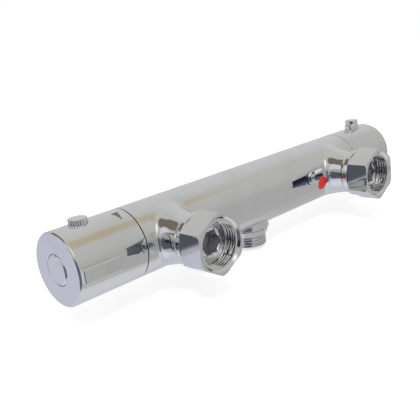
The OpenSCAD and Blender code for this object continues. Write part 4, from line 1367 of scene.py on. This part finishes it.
@dataclass
class EndCap(TurningPart):
    """The round cap that covers a handle's screw."""

    kind = "cap"
    radius: float = 8.4 * MM
    skirt_t: float = 1.1 * MM
    face_t: float = 1.2 * MM
    slope: Pair = (0.9 * MM, 0.9 * MM)
    dome: float = 0.12 * MM
    rounding: float = 0.3 * MM

    def build(self) -> Piece:
        """Builds the cap.

        Returns:
            The piece.
        """
        start, end = self.layout.reach(self.node, self.axis)
        inner, (across, drop) = self.radius - self.skirt_t, self.slope
        dome = Path.domed(self.radius - across, end, self.dome)
        profile = [
            (0.0, end - self.face_t), (inner, end - self.face_t), (inner, start), (self.radius, start),
            (self.radius, end - drop), *dome[:2],
        ]
        path = Path.rounded(profile, self.rounding)[:-1] + dome[1:]
        return Mesher.lathe(f"{self.station.label}_end_cap", path, self.axis)


class Stem(NamedTuple):
    """What a button stands for: its node, the body that it rides on, and whether it has ridges."""

    node: str
    body: str
    ridged: bool


class Press(Stem, Enum):
    """The two buttons."""

    OVERRIDE = ("override_button", "override", True)
    ECONOMY = ("flow_button", "economy", False)


@dataclass
class PushButton(Part):
    """A hollow button on its stem: a low ridged one, and a taller plain one."""

    press: Press
    radius: float = 5.1 * MM
    wall: float = 0.7 * MM
    skirt_l: float = 2.1 * MM
    web_rise: float = 1.2 * MM
    stem_r: float = 2.6 * MM
    tenon_r: float = 1.5 * MM
    pawl_t: float = 2.2 * MM
    ridges: int = 20
    ridge_rows: int = 8
    ridge_depth: float = 0.32 * MM
    ridge_sharpness: float = 0.7
    ridge_fade: float = 0.4 * MM
    ridge_reach: float = 1.2
    flare: Pair = (0.5 * MM, 3.0 * MM)
    rounding: float = 0.45 * MM

    @property
    def node(self) -> str:
        """The name of its node."""
        return self.press.node

    @property
    def body(self) -> str:
        """The body that it is pressed with."""
        return self.press.body

    def build(self) -> Piece:
        """Builds the button.

        Returns:
            The piece.
        """
        bar_r, radius = self.layout.bar_r, self.radius
        foot, top = (corner.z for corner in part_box(self.node))
        skirt, web, shoulder = bar_r - self.skirt_l, bar_r + self.web_rise, foot + self.pawl_t
        profile = [
            (self.tenon_r, foot), (self.tenon_r, shoulder), (self.stem_r, shoulder), (self.stem_r, web),
            (radius - self.wall, web), (radius - self.wall, skirt), (radius, skirt),
        ]
        if self.press.ridged:
            rows = np.linspace(skirt + self.rounding, top - self.rounding, self.ridge_rows)[1:-1]
            profile += [(radius, float(at)) for at in rows] + [(radius, top)]
        else:
            step, rise = self.flare
            profile += [(radius, bar_r + rise - step), (radius - step, bar_r + rise), (radius - step, top)]
        path = [(0.0, foot)] + Path.rounded(profile + [(0.0, top)], self.rounding)
        axis = self.layout.ray(self.layout.middle(self.node), UP, Vector((1, 0, 0)))
        wobble = self._wobble if self.press.ridged else None
        return Mesher.lathe(f"{self.press.body}_push", path, axis, segments=160, wobble=wobble)

    def _wobble(self, radius: np.ndarray, along: np.ndarray, turn: np.ndarray) -> np.ndarray:
        """Gives the radius with the ridges.

        Args:
            radius: The plain radius.
            along: The places along the axis.
            turn: The angles about it.

        Returns:
            The radius at each point.
        """
        wave = np.abs(np.sin(turn * self.ridges / 2)) ** self.ridge_sharpness
        reach = self.ridge_reach * self.rounding
        outer = np.clip((radius - self.radius + reach) / reach, 0, 1)
        shown = np.clip((along - (self.layout.bar_r - MM)) / self.ridge_fade, 0, 1)
        return radius - self.ridge_depth * (1 - wave) * outer * shown


class Squeeze(NamedTuple):
    """A spring that a joint shortens: its node, body and joint, its axis, fixed end and travel."""

    node: str
    body: str
    joint: str
    along: int
    fixed: float
    travel: float


class Spring(Squeeze, Enum):
    """The coil springs that shorten."""

    OVERRIDE = ("override_spring", "temperature_knob", "override_press", 2, 15.9 * MM, 1.8 * MM)
    ECONOMY = ("flow_button_spring", "flow_knob", "flow_press", 2, 15.9 * MM, 1.8 * MM)
    RETURN = ("return_spring", "valve", "thermostat_shift", 0, 49.5 * MM, 0.84 * MM)
    COLD_CHECK = ("cold_poppet_spring", "valve", "cold_check_open", 1, -29.4 * MM, 3 * MM)
    HOT_CHECK = ("hot_poppet_spring", "valve", "hot_check_open", 1, -29.4 * MM, 3 * MM)


@dataclass
class CoilSpring(Part):
    """A spring between its seat and a piece that moves."""

    spring: Spring

    @property
    def node(self) -> str:
        """The name of its node."""
        return self.spring.node

    @property
    def body(self) -> str:
        """The body that it rides on."""
        return self.spring.body

    def build(self) -> Piece:
        """Makes the spring in the shape of its node.

        Returns:
            The piece.
        """
        mesh = frame["nodes"][self.node].data.copy()
        mesh.materials.clear()
        return Mesher.show(f"{self.spring.name.lower()}_coil", mesh)

    def dress(self, piece: Piece) -> None:
        """Dresses the spring, and gives it its own copy of its mesh.

        Args:
            piece: The piece.
        """
        super().dress(piece)
        along, fixed = self.spring.along, self.spring.fixed
        length = max(abs(corner[along] - fixed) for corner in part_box(self.node))
        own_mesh(piece)


@dataclass
class Internals:
    """The pieces inside, which are taken over from the frame as they are."""

    layout: Layout

    def dress(self) -> None:
        """Gives each of them the finish of its slot."""
        for name, node in sorted(frame["nodes"].items()):
            if not node.hide_render:
                finish = FINISHES[self.layout.slots[name]]
                finish.dress(node)
                LOG.info("%s: taken over, %s", name, finish.name)


@dataclass(frozen=True)
class Viewpoint:
    """The camera, solved from the photograph about the bar's middle."""

    place: Triple = (292.56 * MM, 280.17 * MM, 107.39 * MM)
    azimuth: float = math.radians(137.05)
    elevation: float = math.radians(15.65)
    roll: float = math.radians(-7.39)
    focal_px: float = 656.63
    image_px: float = 420.0
    sensor: float = 36.0
    nearest: float = 10 * MM

    def build(self, layout: Layout) -> None:
        """Makes the scene's camera.

        Args:
            layout: The shared places and sizes.
        """
        sin_a, cos_a = math.sin(self.azimuth), math.cos(self.azimuth)
        sin_e, cos_e = math.sin(self.elevation), math.cos(self.elevation)
        back = Vector((sin_a * cos_e, -cos_a * cos_e, sin_e))
        level = Vector((cos_a, sin_a, 0))
        upright = back.cross(level)
        right = level * math.cos(self.roll) + upright * math.sin(self.roll)
        up = upright * math.cos(self.roll) - level * math.sin(self.roll)
        data = bpy.data.cameras.new("camera")
        data.sensor_width = self.sensor
        data.lens = self.focal_px / self.image_px * self.sensor
        data.clip_start = self.nearest
        camera = Mesher.show("camera", data)
        turned = Matrix((right, up, back)).transposed().to_4x4()
        camera.matrix_world = Matrix.Translation(Vector(self.place) + layout.bar) @ turned
        bpy.context.scene.camera = camera


class Zone(NamedTuple):
    """A soft round patch of the light tent, in one direction, with its angles in degrees."""

    azimuth: float
    elevation: float
    inner: float
    outer: float
    colour: Colour

    @property
    def direction(self) -> Vector:
        """The direction of the patch's middle, from +X towards +Y and upwards."""
        turn, rise = math.radians(self.azimuth), math.radians(self.elevation)
        return Vector((math.cos(turn) * math.cos(rise), math.sin(turn) * math.cos(rise), math.sin(rise)))


@dataclass(frozen=True)
class Studio:
    """A soft light tent over a pale floor, open to a dark room on the camera's side."""

    floor_drop: float = 34 * MM
    floor_size: float = 4.0
    floor_colour: Colour = (0.8, 0.8, 0.8, 1)
    floor_roughness: float = 0.9
    floor_glow: float = 0.6
    heights: tuple[tuple[float, Colour], ...] = (
        (-0.8, (0.76, 0.76, 0.78, 1)),
        (-0.68, (0.53, 0.53, 0.515, 1)),
        (0.0, (0.54, 0.54, 0.525, 1)),
        (0.6, (0.6, 0.6, 0.565, 1)),
        (0.9, (0.62, 0.62, 0.56, 1)),
    )
    zones: tuple[Zone, ...] = (
        Zone(-75, -35, 25, 72, (0.65, 0.67, 0.76, 1)),
        Zone(-138, 24, 12, 48, (0.68, 0.68, 0.68, 1)),
        Zone(132, -20, 12, 40, (0.5, 0.5, 0.485, 1)),
        Zone(155, 55.5, 0, 15, (0.58, 0.5, 0.385, 1)),
        Zone(-32, 55, 14, 19, (0.21, 0.185, 0.145, 1)),
        Zone(-62, 44, 13, 18, (0.21, 0.185, 0.145, 1)),
        Zone(-28, 25, 13, 19, (0.76, 0.75, 0.82, 1)),
        Zone(-45, -48, 6, 24, (0.8, 0.83, 0.91, 1)),
        Zone(58, 50, 12, 22, (1.3, 1.3, 1.28, 1)),
        Zone(28, -16, 26, 39, (0.135, 0.15, 0.185, 1)),
        Zone(46, 4, 6, 15, (0.025, 0.028, 0.045, 1)),
    )
    lamp: Zone = Zone(38, 56, 0, 13, (1, 1, 1, 1))
    lamp_distance: float = 0.9
    lamp_energy: float = 5.0

    def build(self) -> None:
        """Makes the floor, the world and the lamp."""
        self._floor()
        self._world()
        self._lamp()

    def _floor(self) -> None:
        """Makes the pale floor, which metal looks through to the tent."""
        bpy.ops.mesh.primitive_plane_add(size=self.floor_size, location=(0, 0, -self.floor_drop))
        floor = bpy.context.object
        floor.name = "floor"
        made = bpy.data.materials.new("pale floor")
        wiring, nodes = Wiring.of(made), made.node_tree.nodes
        shader = nodes["Principled BSDF"]
        plain = {"Base Color": self.floor_colour, "Roughness": self.floor_roughness}
        wiring.join(shader, plain | {"Specular IOR Level": 0.0})
        rays = wiring.add("LightPath", {})
        seen = {0: rays["Is Camera Ray"], 1: self.floor_glow}
        strength = wiring.add("Math", seen, operation="MULTIPLY")[0]
        glow = wiring.add("Emission", {"Strength": strength})["Emission"]
        lit = wiring.add("AddShader", {0: shader.outputs["BSDF"], 1: glow})["Shader"]
        clear = wiring.add("BsdfTransparent", {})["BSDF"]
        choice = wiring.add("MixShader", {"Fac": rays["Is Glossy Ray"], 1: lit, 2: clear})["Shader"]
        wiring.join(nodes["Material Output"], {"Surface": choice})
        floor.data.materials.append(made)

    def _world(self) -> None:
        """Makes the light tent, with its zones laid over a tone that follows the height."""
        world = bpy.data.worlds.new("studio")
        bpy.context.scene.world = world
        wiring, nodes = Wiring.of(world), world.node_tree.nodes
        direction = wiring.add("TexCoord", {})["Generated"]
        rise = wiring.add("SeparateXYZ", {0: direction})["Z"]
        height = wiring.add("MapRange", {"Value": rise, "From Min": -1})["Result"]
        tone = self._ramp(wiring, height)
        for zone in self.zones:
            facing = {0: direction, 1: zone.direction}
            near = wiring.add("VectorMath", facing, operation="DOT_PRODUCT")["Value"]
            low, high = (math.cos(math.radians(angle)) for angle in (zone.outer, zone.inner))
            edge = {"Value": near, "From Min": low, "From Max": high}
            share = wiring.add("MapRange", edge, interpolation_type="SMOOTHSTEP")["Result"]
            laid = {"Factor": share, "A": tone, "B": zone.colour}
            tone = wiring.add("Mix", laid, data_type="RGBA")["Result"]
        tent = nodes["Background"]
        wiring.join(tent, {"Color": tone})
        white = wiring.add("Background", {"Color": (1, 1, 1, 1)})["Background"]
        seen = wiring.add("LightPath", {})["Is Camera Ray"]
        choice = wiring.add("MixShader", {"Fac": seen, 1: tent.outputs["Background"], 2: white})["Shader"]
        wiring.join(nodes["World Output"], {"Surface": choice})

    def _ramp(self, wiring: Wiring, height: bpy.types.NodeSocket) -> bpy.types.NodeSocket:
        """Adds the ramp that gives the tent's tone at each height.

        Args:
            wiring: The world's wiring.
            height: The socket that gives the height, from 0 to 1.

        Returns:
            The tone's socket.
        """
        tone = wiring.add("ValToRGB", {"Fac": height})["Color"]
        stops = tone.node.color_ramp.elements
        for stop, (rise, colour) in zip(stops, (self.heights[0], self.heights[-1])):
            stop.position, stop.color = (rise + 1) / 2, colour
        for rise, colour in self.heights[1:-1]:
            stops.new((rise + 1) / 2).color = colour
        return tone

    def _lamp(self) -> None:
        """Makes the soft round lamp above the camera."""
        data = bpy.data.lights.new("softbox", "AREA")
        data.shape = "DISK"
        data.size = 2 * self.lamp_distance * math.tan(math.radians(self.lamp.outer))
        data.energy = self.lamp_energy
        lamp = Mesher.show("softbox", data)
        lamp.location = self.lamp.direction * self.lamp_distance
        lamp.rotation_mode = "QUATERNION"
        lamp.rotation_quaternion = self.lamp.direction.to_track_quat("Z", "Y")
        lamp.visible_glossy = False


def main() -> None:
    """Builds the studio and the valve, piece by piece."""
    logging.basicConfig(level=logging.INFO, format="%(name)s %(message)s")
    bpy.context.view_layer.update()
    bpy.context.scene.view_settings.view_transform = "Standard"
    layout = Layout()
    Viewpoint().build(layout)
    Studio().build()
    parts: list[Part] = [CastBody(layout), HotMarker(layout), OutletNipple(layout)]
    parts += [kind(layout, supply) for kind in (UnionNut, InletInsert, Gauze) for supply in Supply]
    parts += [kind(layout, knob) for kind in (Handle, EndCap) for knob in Knob]
    parts += [PushButton(layout, press) for press in Press]
    parts += [CoilSpring(layout, spring) for spring in Spring]
    for part in parts:
        part.dress(part.build())
    Internals(layout).dress()


if __name__ == "__main__":
    main()
